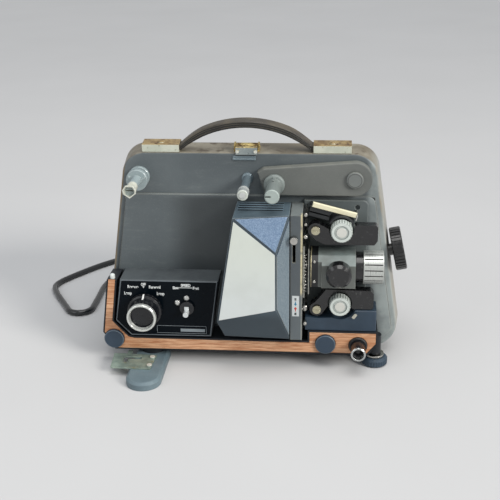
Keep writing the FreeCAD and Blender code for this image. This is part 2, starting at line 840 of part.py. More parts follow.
def make_film_gate():
    """Polished gate plate with the picture opening."""
    plate = block("gate_right + 0.3", "72", "panel_front + 0.2", "gate_right + 2.1", "120", "34")
    window = block("gate_right - 1", "beam_h - 2", "beam_a - 3", "gate_right + 3", "beam_h + 2", "beam_a + 3")
    rail_low = block("gate_right + 2.1", "74", "film_back - 1.4", "gate_right + 2.3", "118",
                     "film_back - 0.2")
    return place(join(cut(plate, window), rail_low))


def make_pressure_plate():
    """Pale spring plate that holds the film flat, on two pins in the lens holder."""
    plate = block("gate_right + 4.9", "75", "panel_front + 1", "gate_right + 5.9", "117", "33")
    window = rod("gate_right + 4", "beam_h", "beam_a", "5", "3", ACROSS)
    pins = [rod("gate_right + 5.9", "beam_h + %s" % d, "beam_a - 9", "1.5",
                "holder_left - gate_right - 5.9", ACROSS) for d in ("10", "-10")]
    return place(join(cut(plate, window), *pins))


def make_claw():
    """Claw that steps the film: a flat arm through the face with one tooth."""
    right = "claw_left + claw_thick"
    arm = block("claw_left", "beam_h - 3.3", "-6", right, "beam_h + 3.3", "film_back - 0.4")
    hook = block("claw_left", "beam_h - 1", "film_back - 0.4", right, "beam_h + 1", "film_back + 1.4")
    tooth = block("claw_left - 0.3", "beam_h - 0.5", "film_back + 0.4", "claw_left", "beam_h + 0.5",
                  "film_back + 1.4")
    return place(join(arm, hook, tooth))


def make_film_path_panel():
    """Raised panel that carries the film path."""
    body = new_body("path_panel")
    outline = polygon(sketch(body, "field_rise"), [
        ("gate_right + 0.3", "panel_bottom"), ("panel_right", "panel_bottom"), ("panel_right", "panel_top"),
        ("gate_right + 0.3", "panel_top")])
    plate = pad(body, outline, "panel_front - field_rise")
    corner = upright_edges(plate, [(val("panel_right"), val("panel_top"))], 2.0)
    plate = fillet(body, plate, corner, "5")
    plate = bevel(body, plate, level_edges(plate, val("panel_front")), "0.5")
    holes = sketch(body, "panel_front")
    circle(holes, "sprocket_x", "upper_h", "shaft_radius + run_gap")
    circle(holes, "sprocket_x", "lower_h", "shaft_radius + run_gap")
    circle(holes, "upper_pivot_x", "upper_pivot_h", "pivot_radius + seat_gap")
    circle(holes, "lower_pivot_x", "lower_pivot_h", "pivot_radius + seat_gap")
    circle(holes, "94.6", "145.6", "2.2")
    rectangle(holes, "claw_left - slide_gap", "beam_h - 6",
              "claw_left + claw_thick + slide_gap", "beam_h + 6")
    pocket(body, holes, "panel_front")
    # Shallow groove that clears the lens collar and its grip ring
    groove = circle(sketch(body, "holder_right", "YZ_Plane"), "beam_h", "beam_a", "grip_radius + curve_gap")
    pocket(body, groove, "30", True)
    return place(body)


def make_lower_housing():
    """Dark housing under the lower sprocket, hollowed round it."""
    body = new_body("housing_block")
    outline = polygon(sketch(body, "panel_front"), [
        ("gate_right + 2.6", "36.8"), ("113.4", "36.8"), ("113.4", "56.6"), ("91", "56.6"),
        ("81", "50"), ("62", "48.4"), ("gate_right + 2.6", "49.6")])
    pad(body, outline, "26 - panel_front")
    holes = sketch(body, "26")
    circle(holes, "sprocket_x", "lower_h", "crown_radius + 5.6")
    circle(holes, "lower_pivot_x", "lower_pivot_h", "7.4")
    shape = pocket(body, holes, "26")
    bevel(body, shape, [n for n in level_edges(shape, 26.0)
                        if shape.Shape.getElement(n).Curve.TypeId == "Part::GeomLine"
                        and shape.Shape.getElement(n).BoundBox.XMin > 92], "0.8")
    return place(body)


def make_film_guide():
    """Dark film channel with the chrome clip that holds the end of the guide bar."""
    channel = block("-1", "-11", "panel_front", "17", "-2.2", "18")
    groove = block("-2", "-8", "film_back - 4", "18", "-6.6", "19")
    clip = block("38.8", "-4.4", "panel_front", "39.8", "0.8", "20.4")
    return tilt_bar(cut(join(channel, clip), groove))


def make_film_guide_bar():
    """Cream guide bar over the upper sprocket."""
    body = new_body("film_guide_bar")
    bar = pad(body, rectangle(sketch(body, "16"), "0", "-2.2", "38.8", "2.2"), "4")
    bevel(body, bar, level_edges(bar, 20.0), "0.4")
    return tilt_bar(body)


def tilt_bar(thing):
    slope = FreeCAD.Rotation(V(0, 0, 1), -14.6)
    return place(thing, "56", "152.9", "0", FACING.multiply(slope))


def make_sprocket_guard():
    """Half ring over the upper sprocket that keeps the film on its teeth."""
    body = new_body("sprocket_guard")
    ring = sketch(body, "panel_front")
    circle(ring, "0", "0", "crown_radius + 2.4")
    circle(ring, "0", "0", "crown_radius + 1.2")
    pad(body, ring, "lever_front - panel_front")
    lower = rectangle(sketch(body, "lever_front + 1"), "-20", "-20", "20", "5")
    pocket(body, lower, "lever_front")
    return place(body, "sprocket_x", "upper_h")


def make_sprocket(name, height):
    """Sprocket drum with its film teeth, fluted crown, shaft and drive gear."""
    body = new_body(name)
    front = "crown_front"
    turned(body, [
        ("0", "-frame_depth - 5"), ("9", "-frame_depth - 5"), ("9", "-frame_depth - 2"),
        ("shaft_radius", "-frame_depth - 2"), ("shaft_radius", "film_back - 5"),
        ("crown_radius - 0.6", "film_back - 5"), ("crown_radius - 0.6", "film_back"),
        ("crown_radius - 1.6", "film_back"), ("crown_radius - 1.6", "film_back + film_width + 0.4"),
        ("crown_radius - 0.6", "film_back + film_width + 0.4"),
        ("crown_radius", front + " - 8"), ("crown_radius", front + " - 1"),
        ("crown_radius - 0.8", front), ("crown_radius - 3.2", front),
        ("crown_radius - 3.6", front + " - 0.8"), ("crown_radius - 4.6", front + " - 0.8"),
        ("crown_radius - 4.8", front + " - 0.2"), ("0", front + " - 0.2")])
    flute = circle(sketch(body, front + " + 1"), "crown_radius + 0.3", "0", "0.75")
    around(body, pocket(body, flute, "9"), "sprocket_teeth")
    tooth = rectangle(sketch(body, "film_back + 0.6"), "crown_radius - 2", "-0.4",
                      "crown_radius - 0.8", "0.4")
    around(body, pad(body, tooth, "1"), "sprocket_teeth")
    return place(body, "sprocket_x", height)


def lever_body(name, points, roller_x, roller_y, corners):
    """Film guide lever: a flat arm with a pivot boss, hollowed round its sprocket."""
    body = new_body(name)
    plate = pad(body, polygon(sketch(body, "lever_back"), points), "lever_front - lever_back")
    plate = fillet(body, plate, upright_edges(plate, corners, 1.5), "2.6")
    boss = circle(sketch(body, "lever_back"), "0", "0", "6.4")
    pad(body, boss, "lever_front - lever_back")
    hollow = sketch(body, "lever_front + 1")
    circle(hollow, roller_x, roller_y, "crown_radius + 1.3")
    circle(hollow, "0", "0", "pivot_radius + run_gap")
    pocket(body, hollow, "lever_front - lever_back + 2")
    return body


def make_upper_guide_lever():
    body = lever_body("upper_guide_lever", [
        ("-3", "5.2"), ("-5.6", "-3"), ("0", "-9"), ("8", "-13"), ("50.4", "-13"), ("53.2", "-9"),
        ("53.2", "4.9"), ("34.5", "4.9"), ("31", "1"), ("12", "1"), ("6", "4")],
        "sprocket_x - upper_pivot_x", "upper_h - upper_pivot_h", [(53.2, 4.9), (34.5, 4.9)])
    return place(body, "upper_pivot_x", "upper_pivot_h")


def make_lower_guide_lever():
    body = lever_body("lower_guide_lever", [
        ("-5.6", "2"), ("-2", "-5.6"), ("5", "-4"), ("9", "2"), ("12", "8"), ("29", "8"),
        ("31", "0.6"), ("49", "0.6"), ("49.8", "3"), ("49.8", "15.6"), ("47", "18.6"), ("8", "19.2"),
        ("2", "11")],
        "sprocket_x - lower_pivot_x", "lower_h - lower_pivot_h", [(49.0, 0.6), (31.0, 0.6)])
    return place(body, "lower_pivot_x", "lower_pivot_h")


def make_lever_screws():
    """Two slotted shoulder screws that carry the guide levers."""
    screws = []
    for x, h in (("upper_pivot_x", "upper_pivot_h"), ("lower_pivot_x", "lower_pivot_h")):
        screws.append(rod(x, h, "field_rise + 0.5", "pivot_radius", "lever_front + 0.4 - field_rise"))
        screws.append(rod(x, h, "panel_front", "3.4", "lever_back - panel_front - 0.3"))
        head = rod(x, h, "lever_front + 0.4", "3.8", "1.6")
        slot = block("%s - 5" % x, "%s - 0.4" % h, "lever_front + 1.4", "%s + 5" % x, "%s + 0.4" % h,
                     "lever_front + 3")
        screws.append(cut(head, slot))
    return place(join(*screws))


def make_film_shoe():
    """Small pale film shoe beside the lower sprocket."""
    body = new_body("film_shoe")
    outline = hull(sketch(body, "26"), "-1.6", "-2", "1.5", "1.2", "1.6", "1.3")
    pad(body, outline, "1.6")
    return place(body, "94.4", "52.2")


def make_lens_holder():
    """Block that carries the lens, bored along the beam."""
    body = new_body("lens_holder")
    side = polygon(sketch(body, "holder_left", "YZ_Plane"), [
        ("holder_low", "panel_front"), ("holder_low", "holder_front"),
        ("holder_high - 7", "holder_front"), ("holder_high", "holder_front - 7"),
        ("holder_high", "panel_front")])
    pad(body, side, "holder_right - holder_left")
    bore = circle(sketch(body, "holder_left - 1", "YZ_Plane"), "beam_h", "beam_a", "lens_radius + run_gap")
    pocket(body, bore, "holder_right", True)
    step = rectangle(sketch(body, "holder_left - 1", "YZ_Plane"), "holder_low - 1", "holder_front - 2.4",
                     "holder_high + 1", "holder_front + 1")
    pocket(body, step, "10.5", True)
    hole = sketch(body, "holder_front + 1")
    circle(hole, "knob_x", "beam_h + 1", "2.5 + run_gap")
    pocket(body, hole, "5")
    return place(body)


def make_focus_knob():
    """Faceted focusing knob with its short pinion shaft."""
    grip = solid("Prism", "0", "0", "0.5", Circumradius="knob_radius + 0.5",
                 Height="knob_front - holder_front - 0.5")
    grip.Polygon = 9
    disc = rod("0", "0", "0.5", "knob_radius", "knob_front - holder_front - 3")
    dome = solid("Cone", "0", "0", "knob_front - holder_front - 2.5", Radius1="knob_radius",
                 Radius2="knob_radius - 2.5", Height="2.5")
    whole = doc.addObject("Part::MultiCommon", "knob_grip")
    whole.Shapes = [grip, join(disc, dome)]
    shaft = rod("0", "0", "-3", "2.5", "3.6")
    return place(join(whole, shaft), "knob_x", "beam_h + 1", "holder_front")


def make_lens_barrel():
    """Sliding lens tube with its front collar."""
    body = new_body("lens_barrel")
    turned(body, [("8.2", "0"), ("lens_radius", "0"), ("lens_radius", "holder_right + 0.3 - 57"),
                  ("collar_radius", "holder_right + 0.3 - 57"), ("collar_radius", "grip_left - 57.4"),
                  ("lens_radius", "grip_left - 57.4"), ("lens_radius", "grip_right - 57.6"),
                  ("8.2", "grip_right - 57.6")])
    return place(body, "57", "beam_h", "beam_a", ACROSS)


def make_lens_grip():
    """Ribbed chrome grip ring round the front of the lens."""
    body = new_body("lens_grip_ring")
    turned(body, [("lens_radius + run_gap", "0"), ("grip_radius", "0"),
                  ("grip_radius", "grip_right - grip_left"),
                  ("lens_radius + run_gap", "grip_right - grip_left")])
    groove = rectangle(sketch(body, "grip_right - grip_left - 0.8"), "grip_radius - 0.9", "-0.5",
                       "grip_radius + 1", "0.5")
    around(body, pocket(body, groove, "grip_right - grip_left - 1.6"), "grip_ribs")
    return place(body, "grip_left", "beam_h", "beam_a", ACROSS)


def make_lens_glass():
    """Front and rear lens elements."""
    lenses = []
    for x, swell in (("3", "1.2"), ("grip_right - 63", "1.8")):
        disc = rod("0", "0", x, "8.2", "3")
        lenses.append(disc)
        lenses.append(solid("Cone", "0", "0", "%s + 3" % x, Radius1="7.6", Radius2="4",
                            Height=swell + " * 0.5"))
    return place(join(*lenses), "57", "beam_h", "beam_a", ACROSS)


def make_reel_arm():
    """Swinging arm of the supply reel: round at its pivot, cut straight at its free end."""
    body = new_body("reel_arm")
    plate = polygon(sketch(body, "arm_back"), [
        ("spindle_x - arm_x - 8.1", "-arm_radius"), ("0", "-arm_radius"), ("0", "arm_radius"),
        ("spindle_x - arm_x - 9.7", "arm_radius - 6.3"), ("spindle_x - arm_x - 14.7", "arm_radius - 9.7")])
    pad(body, plate, "arm_front - arm_back")
    shape = pad(body, circle(sketch(body, "arm_back"), "0", "0", "arm_radius"), "arm_front - arm_back")
    fillet(body, shape, level_edges(shape, val("arm_front")), "1")
    holes = sketch(body, "arm_front + 1")
    circle(holes, "0", "0", "shaft_radius + run_gap")
    circle(holes, "spindle_x - arm_x", "spindle_h - arm_h", "shaft_radius + run_gap")
    pocket(body, holes, "arm_front")
    return place(body, "arm_x", "arm_h")


def make_arm_pin():
    """Pivot pin of the reel arm with its round cap."""
    body = new_body("arm_pivot_pin")
    turned(body, [("0", "-frame_depth"), ("shaft_radius", "-frame_depth"),
                  ("shaft_radius", "arm_front + 0.3"), ("7.3", "arm_front + 0.3"),
                  ("7.3", "arm_front + 2"), ("6.5", "arm_front + 2.6"), ("0", "arm_front + 2.6")])
    return place(body, "arm_x", "arm_h")


def make_arm_spindle():
    """Spindle of the supply reel: a flange, a neck with a key, and a straight notched tip."""
    body = new_body("arm_spindle")
    turned(body, [("0", "arm_back + 0.2"), ("shaft_radius", "arm_back + 0.2"),
                  ("shaft_radius", "arm_front + 0.3"), ("9.1", "arm_front + 0.3"),
                  ("9.1", "arm_front + 3"), ("8", "arm_front + 4"),
                  ("spindle_radius - 0.4", "arm_front + 4.6"),
                  ("spindle_radius - 0.4", "tip_back"), ("spindle_radius", "tip_back"),
                  ("spindle_radius", "spindle_front - 0.8"), ("spindle_radius - 0.8", "spindle_front"),
                  ("0", "spindle_front")])
    notch = rectangle(sketch(body, "spindle_front + 1"), "-spindle_radius - 1", "-0.6", "-1", "0.6")
    pocket(body, notch, "4")
    fin = rectangle(sketch(body, "arm_front + 4"), "-0.9", "spindle_radius - 1.4",
                    "0.9", "spindle_radius + 1.2")
    pad(body, fin, "9")
    return place(body, "spindle_x", "spindle_h")


def make_takeup_spindle():
    """Take-up spindle: two flanges, a round core with a key, and a hollow tip that widens forwards."""
    body = new_body("takeup_spindle")
    front = "spindle_front"
    turned(body, [("0", "-frame_depth - 1"), ("shaft_radius", "-frame_depth - 1"), ("shaft_radius", "-14"),
                  ("10", "-14"), ("10", "-10"), ("shaft_radius", "-10"), ("shaft_radius", "0.3"),
                  ("takeup_radius", "0.3"), ("takeup_radius", "3.6"), ("takeup_radius - 0.5", "4"),
                  ("takeup_core + 2.4", "4"), ("takeup_core + 2.4", "8"), ("takeup_radius", "8"),
                  ("takeup_radius", "12.6"), ("takeup_radius - 0.5", "13"), ("takeup_core", "13"),
                  ("takeup_core", front + " - 9"), ("0", front + " - 9")])
    corners = [(-6.1, 1), (-3.3, 5.2), (3.6, 5.1), (6.1, 1), (5.5, -2), (0, -6.3), (-5.5, -2.4)]
    head = polygon(sketch(body, front), [(str(x), str(y)) for x, y in corners])
    tip = pad(body, head, "14", True, "-12")
    bevel(body, tip, level_edges(tip, val(front)), "0.3")
    hollow = polygon(sketch(body, front), [("%s * 0.76" % x, "%s * 0.76" % y) for x, y in corners])
    pocket(body, hollow, "3")
    slit = rectangle(sketch(body, front + " - 3"), "-3.4", "-0.5", "3.4", "0.5")
    pocket(body, slit, "3")
    key = polygon(sketch(body, "12.5"), [
        ("takeup_core - 0.8", "0.2"), ("takeup_radius - 1.2", "3.2"), ("takeup_radius - 1.8", "4.2"),
        ("takeup_core - 1.2", "1.4")])
    pad(body, key, "5")
    stud = circle(sketch(body, "12.5"), "-6.4", "3.4", "0.9")
    pad(body, stud, "2.5")
    return place(body, "takeup_x", "takeup_h")


def make_guide_post():
    """Fixed stem that carries the film guide roller."""
    body = new_body("guide_post")
    tip = "post_front"
    turned(body, [("0", "0"), ("5", "0"), ("5", "2"), ("3.5", "3"), ("3.5", tip + " - 12"),
                  ("4.8", tip + " - 12"), ("4.8", tip + " - 8.4"), ("1.6", tip + " - 8.4"),
                  ("1.6", tip + " - 0.6"), ("2.6", tip + " - 0.6"), ("2.6", tip), ("0", tip)])
    return place(body, "post_x", "post_h")


def make_guide_roller():
    body = new_body("guide_roller")
    turned(body, [("1.6 + run_gap", "post_front - 8.2"), ("4.6", "post_front - 8.2"),
                  ("4.6", "post_front - 1.2"), ("4", "post_front - 0.8"),
                  ("1.6 + run_gap", "post_front - 0.8")])
    return place(body, "post_x", "post_h")


def on_top(thing, x="0"):
    """Puts a piece on the sloping top of the case frame; its y is the height above that slope."""
    place(thing, x, "case_top")
    bind(thing, "Placement.Rotation.Angle", "90 + frame_draft")
    return thing


def make_handle_strap():
    """Springy carrying strap: an arch whose ends lie inside the brackets."""
    body = new_body("handle_strap")
    foot = "3.6"
    rise = "(strap_rise - case_top - %s)" % foot
    reach = "(bracket_in - 1.2)"
    radius = "(%s * %s + %s * %s) / (2 * %s)" % (reach, reach, rise, rise, rise)
    centre = "strap_rise - case_top - %s" % radius
    ring = sketch(body, "strap_a - strap_width / 2")
    circle(ring, "0", centre, "%s + strap_thick / 2" % radius)
    circle(ring, "0", centre, "%s - strap_thick / 2" % radius)
    pad(body, ring, "strap_width")
    low = rectangle(sketch(body, "strap_a + strap_width"), "-150", "-200", "150",
                    "%s - strap_thick / 2 + 0.3" % foot)
    pocket(body, low, "strap_width * 2")
    for side in ("-1", "1"):
        tail = rectangle(sketch(body, "strap_a - strap_width / 2"),
                         "%s * (bracket_in - 1.5)" % side, "%s - strap_thick / 2 + 0.3" % foot,
                         "%s * (bracket_out - 4)" % side, "%s + strap_thick / 2" % foot)
        pad(body, tail, "strap_width")
    return on_top(body, "strap_x")


def make_handle_brackets():
    """Two folded metal brackets that hold the ends of the strap."""
    brackets = []
    for inner, outer, mouth, end in (("bracket_in", "bracket_out", "-3", "-2"),
                                     ("-bracket_out", "-bracket_in", "2", "3")):
        shell = block(inner, "0.05", "-bracket_depth", outer, "bracket_top - case_top", "-0.4")
        room = block("%s + %s" % (inner, mouth), "1.1", "strap_a - strap_width / 2 - 0.3",
                     "%s + %s" % (outer, end), "bracket_top - case_top - 1",
                     "strap_a + strap_width / 2 + 0.3")
        brackets.append(cut(shell, room))
    return on_top(join(*brackets), "strap_x")


def make_rivets():
    """Domed rivets that close the strap brackets."""
    domes = []
    for x in ("-(bracket_in + bracket_out) / 2", "(bracket_in + bracket_out) / 2"):
        low = "bracket_top - case_top"
        domes.append(rod(x, low, "strap_a", "3", "0.6", REARWARD))
        domes.append(solid("Cone", x, "%s + 0.6" % low, "strap_a", REARWARD, Radius1="2.6", Radius2="1.2",
                           Height="0.7"))
    return on_top(join(*domes), "strap_x")


def make_latch_base():
    """Hinge plate of the cover latch on top of the case, with two ears."""
    plate = block("-11", "0.05", "-15", "11", "1.3", "-3")
    ears = [block(x, "1.3", "-9.5", "%s + 1.4" % x, "6.8", "-3.5") for x in ("-11", "9.6")]
    holes = rod("-12", "4.6", "-6.5", "1 + run_gap", "24", ACROSS)
    return on_top(cut(join(plate, *ears), holes), "strap_x + 0.5")


def make_latch_hook():
    """Latch hook on its hinge pin: sleeve, plate and lip."""
    sleeve = rod("-9.3", "0", "0", "2.3", "18.6", ACROSS)
    pin = rod("-10.8", "0", "0", "1", "21.6", ACROSS)
    plate = block("-9.3", "-0.9", "0", "9.3", "0.9", "8.3")
    lip = block("-9.3", "-5.6", "7", "9.3", "0.9", "8.3")
    studs = [rod(x, "-2.4", "8.3", "1.2", "0.8") for x in ("-7", "7")]
    hook = join(sleeve, pin, plate, lip, *studs)
    place(hook, "strap_x + 0.5")
    bind(hook, "Placement.Rotation.Angle", "90 + frame_draft")
    drop = "(4.6 * cos(frame_draft) + 6.5 * sin(frame_draft))"
    bind(hook, "Placement.Base.z", "case_top + %s" % drop)
    bind(hook, "Placement.Base.y", "origin_y - (4.6 * sin(frame_draft) - 6.5 * cos(frame_draft))")
    return hook


def make_latch_catch():
    """Small catch plate on the face below the latch hook."""
    plate = block("-10", "0", "0", "10", "3.4", "0.6")
    step = block("-10", "0", "0.6", "10", "1.2", "1.1")
    return place(join(plate, step), "strap_x - 1.5", "case_top - catch_drop")


def make_main_shaft():
    """Main drive shaft with its belt pulley and the claw cam."""
    shaft = rod("0", "0", "0", "shaft_radius", "100", ACROSS)
    pulley = rod("pulley_x - 10", "0", "0", "main_pulley", "4", ACROSS)
    flanges = [rod("pulley_x + %s" % d, "0", "0", "main_pulley + 2", "1.4", ACROSS) for d in ("-11.4", "-6")]
    cam = rod("gate_right - 5.3", "0", "0", "4.2", "1.2", ACROSS)
    hub = rod("shutter_x - 10", "0", "0", "6", "2", ACROSS)
    return place(join(shaft, pulley, cam, hub, *flanges), "8", "beam_h", "drive_a")


def make_shutter():
    """Three-bladed shutter disc on the main shaft."""
    body = new_body("shutter_disc")
    disc = sketch(body)
    circle(disc, "0", "0", "shutter_radius")
    circle(disc, "0", "0", "shaft_radius")
    pad(body, disc, "0.8")
    gap = sketch(body, "1")
    polygon(gap, [("-shutter_radius + 3", "-7"), ("-16", "-4"), ("-16", "4"), ("-shutter_radius + 3", "7")])
    around(body, pocket(body, gap, "2"), "3")
    return place(body, "shutter_x", "beam_h", "drive_a", ACROSS)


def make_motor():
    """Drive motor on its bracket behind the chassis plate."""
    can = rod("-60", "motor_h", "motor_a", "21", "52", ACROSS)
    bracket = block("-52", "motor_h - 18", "motor_a + 12", "-16", "motor_h + 18", "-frame_depth")
    bore = rod("-61", "motor_h", "motor_a", "2.5 + run_gap", "54", ACROSS)
    return place(cut(join(can, bracket), bore))


def make_fan():
    """Motor shaft with the cooling fan at one end and the small pulley at the other."""
    shaft = rod("-76", "0", "0", "2.5", "93", ACROSS)
    hub = rod("-76", "0", "0", "7", "12", ACROSS)
    disc = rod("-65.4", "0", "0", "fan_radius", "1.4", ACROSS)
    blades = []
    for k in range(9):
        blade = block("-76", "6", "-0.6", "-65", "fan_radius - 1", "0.6")
        blade.Placement = FreeCAD.Placement(V(0, 0, 0), FreeCAD.Rotation(V(1, 0, 0), 40 * k))
        for axis, text in (("x", "-76"), ("y", "6 * cos(40 * %d) + 0.6 * sin(40 * %d)" % (k, k)),
                           ("z", "6 * sin(40 * %d) - 0.6 * cos(40 * %d)" % (k, k))):
            bind(blade, "Placement.Base." + axis, text)
        blades.append(blade)
    pulley = rod("pulley_x - 2", "0", "0", "motor_pulley", "4", ACROSS)
    flanges = [rod("pulley_x + %s" % d, "0", "0", "motor_pulley + 2", "1.2", ACROSS) for d in ("-3.2", "2")]
    return place(join(shaft, hub, disc, pulley, *(blades + flanges)), "0", "motor_h", "motor_a")


def make_belt():
    """Rubber drive belt round the two pulleys."""
    body = new_body("drive_belt")
    low = "beam_h - motor_h"
    back = "drive_a - motor_a"
    outer = hull(sketch(body, "-1.4"), "0", "0", "main_pulley + 1.5", low, back, "motor_pulley + 1.5")
    pad(body, outer, "2.8")
    inner = hull(sketch(body, "2"), "0", "0", "main_pulley + run_gap", low, back, "motor_pulley + run_gap")
    pocket(body, inner, "4")
    return place(body, "pulley_x", "beam_h", "drive_a", ACROSS)


def make_inching_knob():
    """Hand knob at the side that turns the mechanism, on its leaning shaft."""
    body = new_body("inching_knob")
    turned(body, [("0", "-24"), ("shaft_radius", "-24"), ("shaft_radius", "-9.6"), ("5.4", "-9.6"),
                  ("5.4", "-5"), ("inching_radius - 1", "-5"), ("inching_radius", "-4"),
                  ("inching_radius", "4"), ("inching_radius - 1", "5"), ("inching_radius - 5", "5"),
                  ("inching_radius - 6", "4"), ("0", "4")])
    flute = rectangle(sketch(body, "6"), "inching_radius - 0.7", "-0.6", "inching_radius + 1", "0.6")
    around(body, pocket(body, flute, "12"), "36")
    lean = FreeCAD.Rotation(V(0, 1, 0), 90 - 12.5)
    place(body, "inching_x + 5 * cos(inching_tilt)", "beam_h + 5.3 + 5 * sin(inching_tilt)", "drive_a", lean)
    bind(body, "Placement.Rotation.Angle", "90 - inching_tilt")
    return body


def make_mode_dial():
    """Ribbed dial that sets direction and lamp, hollow at the front."""
    body = new_body("dial_knob")
    front = "dial_front"
    turned(body, [("0", "box_front - 8"), ("shaft_radius", "box_front - 8"),
                  ("shaft_radius", "box_front + 0.3"),
                  ("dial_radius + 2.6", "box_front + 0.3"), ("dial_radius + 2.6", "box_front + 5"),
                  ("dial_radius + 1", "box_front + 6"), ("dial_radius + 0.3", front + " - 1.6"),
                  ("dial_radius - 2", front + " - 1.6"), ("dial_radius - 3", front + " - 6"),
                  ("0", front + " - 7")])
    flute = circle(sketch(body, "box_front + 5"), "dial_radius + 3", "0", "0.9")
    around(body, pocket(body, flute, "4"), "24")
    return place(body, "dial_x", "dial_h")


def make_dial_ring():
    """Chrome ring on the front edge of the dial."""
    body = new_body("dial_ring")
    front = "dial_front"
    turned(body, [("dial_radius - 2", front + " - 1.6"), ("dial_radius + 0.3", front + " - 1.6"),
                  ("dial_radius + 0.3", front + " - 0.5"), ("dial_radius - 0.2", front),
                  ("dial_radius - 1.4", front)])
    return place(body, "dial_x", "dial_h")


def make_speed_lever():
    """Speed selector: a hub with a short chrome lever pin."""
    shaft = rod("0", "0", "box_front - 8", "2.5", "8.3")
    hub = rod("0", "0", "box_front + 0.3", "6.4", "2.2")
    arm = block("-2", "-4.6", "box_front + 2.5", "2", "2", "box_front + 4")
    pin = rod("0", "-2.6", "box_front + 4", "2.4", "6.6")
    return place(join(shaft, hub, arm, pin), "speed_x", "speed_h")


def make_panel_screws():
    """Two round-headed screws beside the speed selector."""
    heads = []
    for x, h in (("-63.2", "61.6"), ("-54.8", "66.2")):
        heads.append(rod(x, h, "box_front - 0.4", "2.4", "1.2"))
        heads.append(solid("Cone", x, h, "box_front + 0.8", Radius1="2.4", Radius2="1.4", Height="0.6"))
    return place(join(*heads))


def make_index_bumper():
    """Small pale buffer on top of the left leg of the base moulding."""
    spot = ("base_left + 11.6", "leg_top", "base_front - 4")
    stud = rod(*spot, "2.3", "3.4", REARWARD)
    dome = solid("Cone", spot[0], spot[1] + " + 3.4", spot[2], REARWARD, Radius1="2.3", Radius2="1.3",
                 Height="0.9")
    return place(join(stud, dome))


def make_button_collar():
    body = new_body("button_collar")
    back = "base_front - collar_depth"
    turned(body, [("button_radius + slide_gap", back), ("collar_outer", back),
                  ("collar_outer", "base_front + 1.6"), ("collar_outer - 0.7", "base_front + 2.4"),
                  ("button_radius + slide_gap", "base_front + 2.4")])
    return place(body, "button_x", "button_h")


def make_rewind_button():
    """Long sprung push button, with a hollow tip."""
    body = new_body("button_rod")
    turned(body, [("0", "14"), ("4", "14"), ("4", "base_front - 1.6"), ("button_radius", "base_front - 1.6"),
                  ("button_radius", "42.6"), ("button_radius - 1.6", "42.6"), ("2", "39"), ("0", "39")])
    return place(body, "button_x", "button_h")


def make_button_tip():
    """Chrome ring on the front of the push button."""
    body = new_body("button_tip")
    turned(body, [("button_radius - 1.6", "42.6"), ("button_radius", "42.6"), ("button_radius + 0.3", "43.4"),
                  ("button_radius + 0.3", "44.8"), ("button_radius - 0.4", "45.4"),
                  ("button_radius - 1.4", "45")])
    return place(body, "button_x", "button_h")


def make_swing_foot():
    """Swinging front foot: a flat bar with round ends, bevelled, and its pivot pin."""
    body = new_body("swing_foot")
    outline = hull(sketch(body), "0", "0", "foot_radius", "0", "-foot_reach", "foot_radius")
    bar = pad(body, outline, "foot_thick")
    bevel(body, bar, level_edges(bar, val("foot_thick")), "2.2")
    pin = circle(sketch(body, "foot_thick - 1"), "0", "0", "foot_pin")
    pad(body, pin, "base_bottom + 9 - foot_thick")
    return place(body, "foot_x", "0", "foot_pivot_a", UPRIGHT)


def make_foot_latch():
    """Zinc latch plate on the swing foot, with a slot and two screws."""
    body = new_body("foot_latch_plate")
    plate = polygon(sketch(body, "foot_thick"), [
        ("-32", "-40"), ("4", "-41"), ("5.6", "-15.6"), ("-18", "-14.8"), ("-18", "-8"), ("-22", "-8"),
        ("-22", "-14.4"), ("-34", "-14")])
    pad(body, plate, "1.4")
    slot = rectangle(sketch(body, "foot_thick + 2"), "-23", "-24", "-7", "-20")
    pocket(body, slot, "4")
    slot = rectangle(sketch(body, "foot_thick + 2"), "-23", "-30", "-19", "-20")
    pocket(body, slot, "4")
    for y in ("-20.5", "-35.7"):
        pad(body, circle(sketch(body, "foot_thick + 1"), "2.6", y, "2.3"), "1.6")
    return place(body, "foot_x", "0", "foot_pivot_a", UPRIGHT)


def make_foot_pad():
    """Ribbed rubber pad of the elevation foot."""
    body = new_body("foot_pad")
    turned(body, [("0", "0"), ("pad_radius - 1.4", "0"), ("pad_radius", "1.4"),
                  ("pad_radius", "pad_thick - 3"),
                  ("pad_radius - 2", "pad_thick - 1"), ("5 + run_gap", "pad_thick - 1"),
                  ("5 + run_gap", "2"), ("0", "2")])
    flute = circle(sketch(body, "pad_thick"), "pad_radius + 0.4", "0", "0.7")
    around(body, pocket(body, flute, "pad_thick + 1"), "30")
    return place(body, "screw_foot_x", "0", "screw_foot_a", UPRIGHT)


def make_elevation_screw():
    """Screw and metal collar of the elevation foot."""
    body = new_body("elevation_screw")
    turned(body, [("0", "2.2"), ("5", "2.2"), ("5", "pad_thick - 0.8"), ("8", "pad_thick - 0.8"),
                  ("8.4", "pad_thick"), ("8.4", "pad_thick + 1.4"), ("screw_radius", "pad_thick + 1.4"),
                  ("screw_radius", "screw_top"), ("0", "screw_top")])
    return place(body, "screw_foot_x", "0", "screw_foot_a", UPRIGHT)


def make_foot_bosses():
    """Two bosses under the base moulding: the pivot of the swing foot and the screw socket."""
    left = cut(rod("foot_x", "foot_thick + 0.3", "foot_pivot_a", "11", "base_bottom - foot_thick - 0.3",
                   REARWARD),
               rod("foot_x", "0", "foot_pivot_a", "foot_pin + run_gap", "base_bottom + 9", REARWARD))
    right = cut(rod("screw_foot_x", "pad_thick + 2", "screw_foot_a", "screw_radius + 2.1",
                    "screw_top - pad_thick", REARWARD),
                rod("screw_foot_x", "0", "screw_foot_a", "screw_radius + run_gap", "screw_top + 1", REARWARD))
    return place(join(left, right))


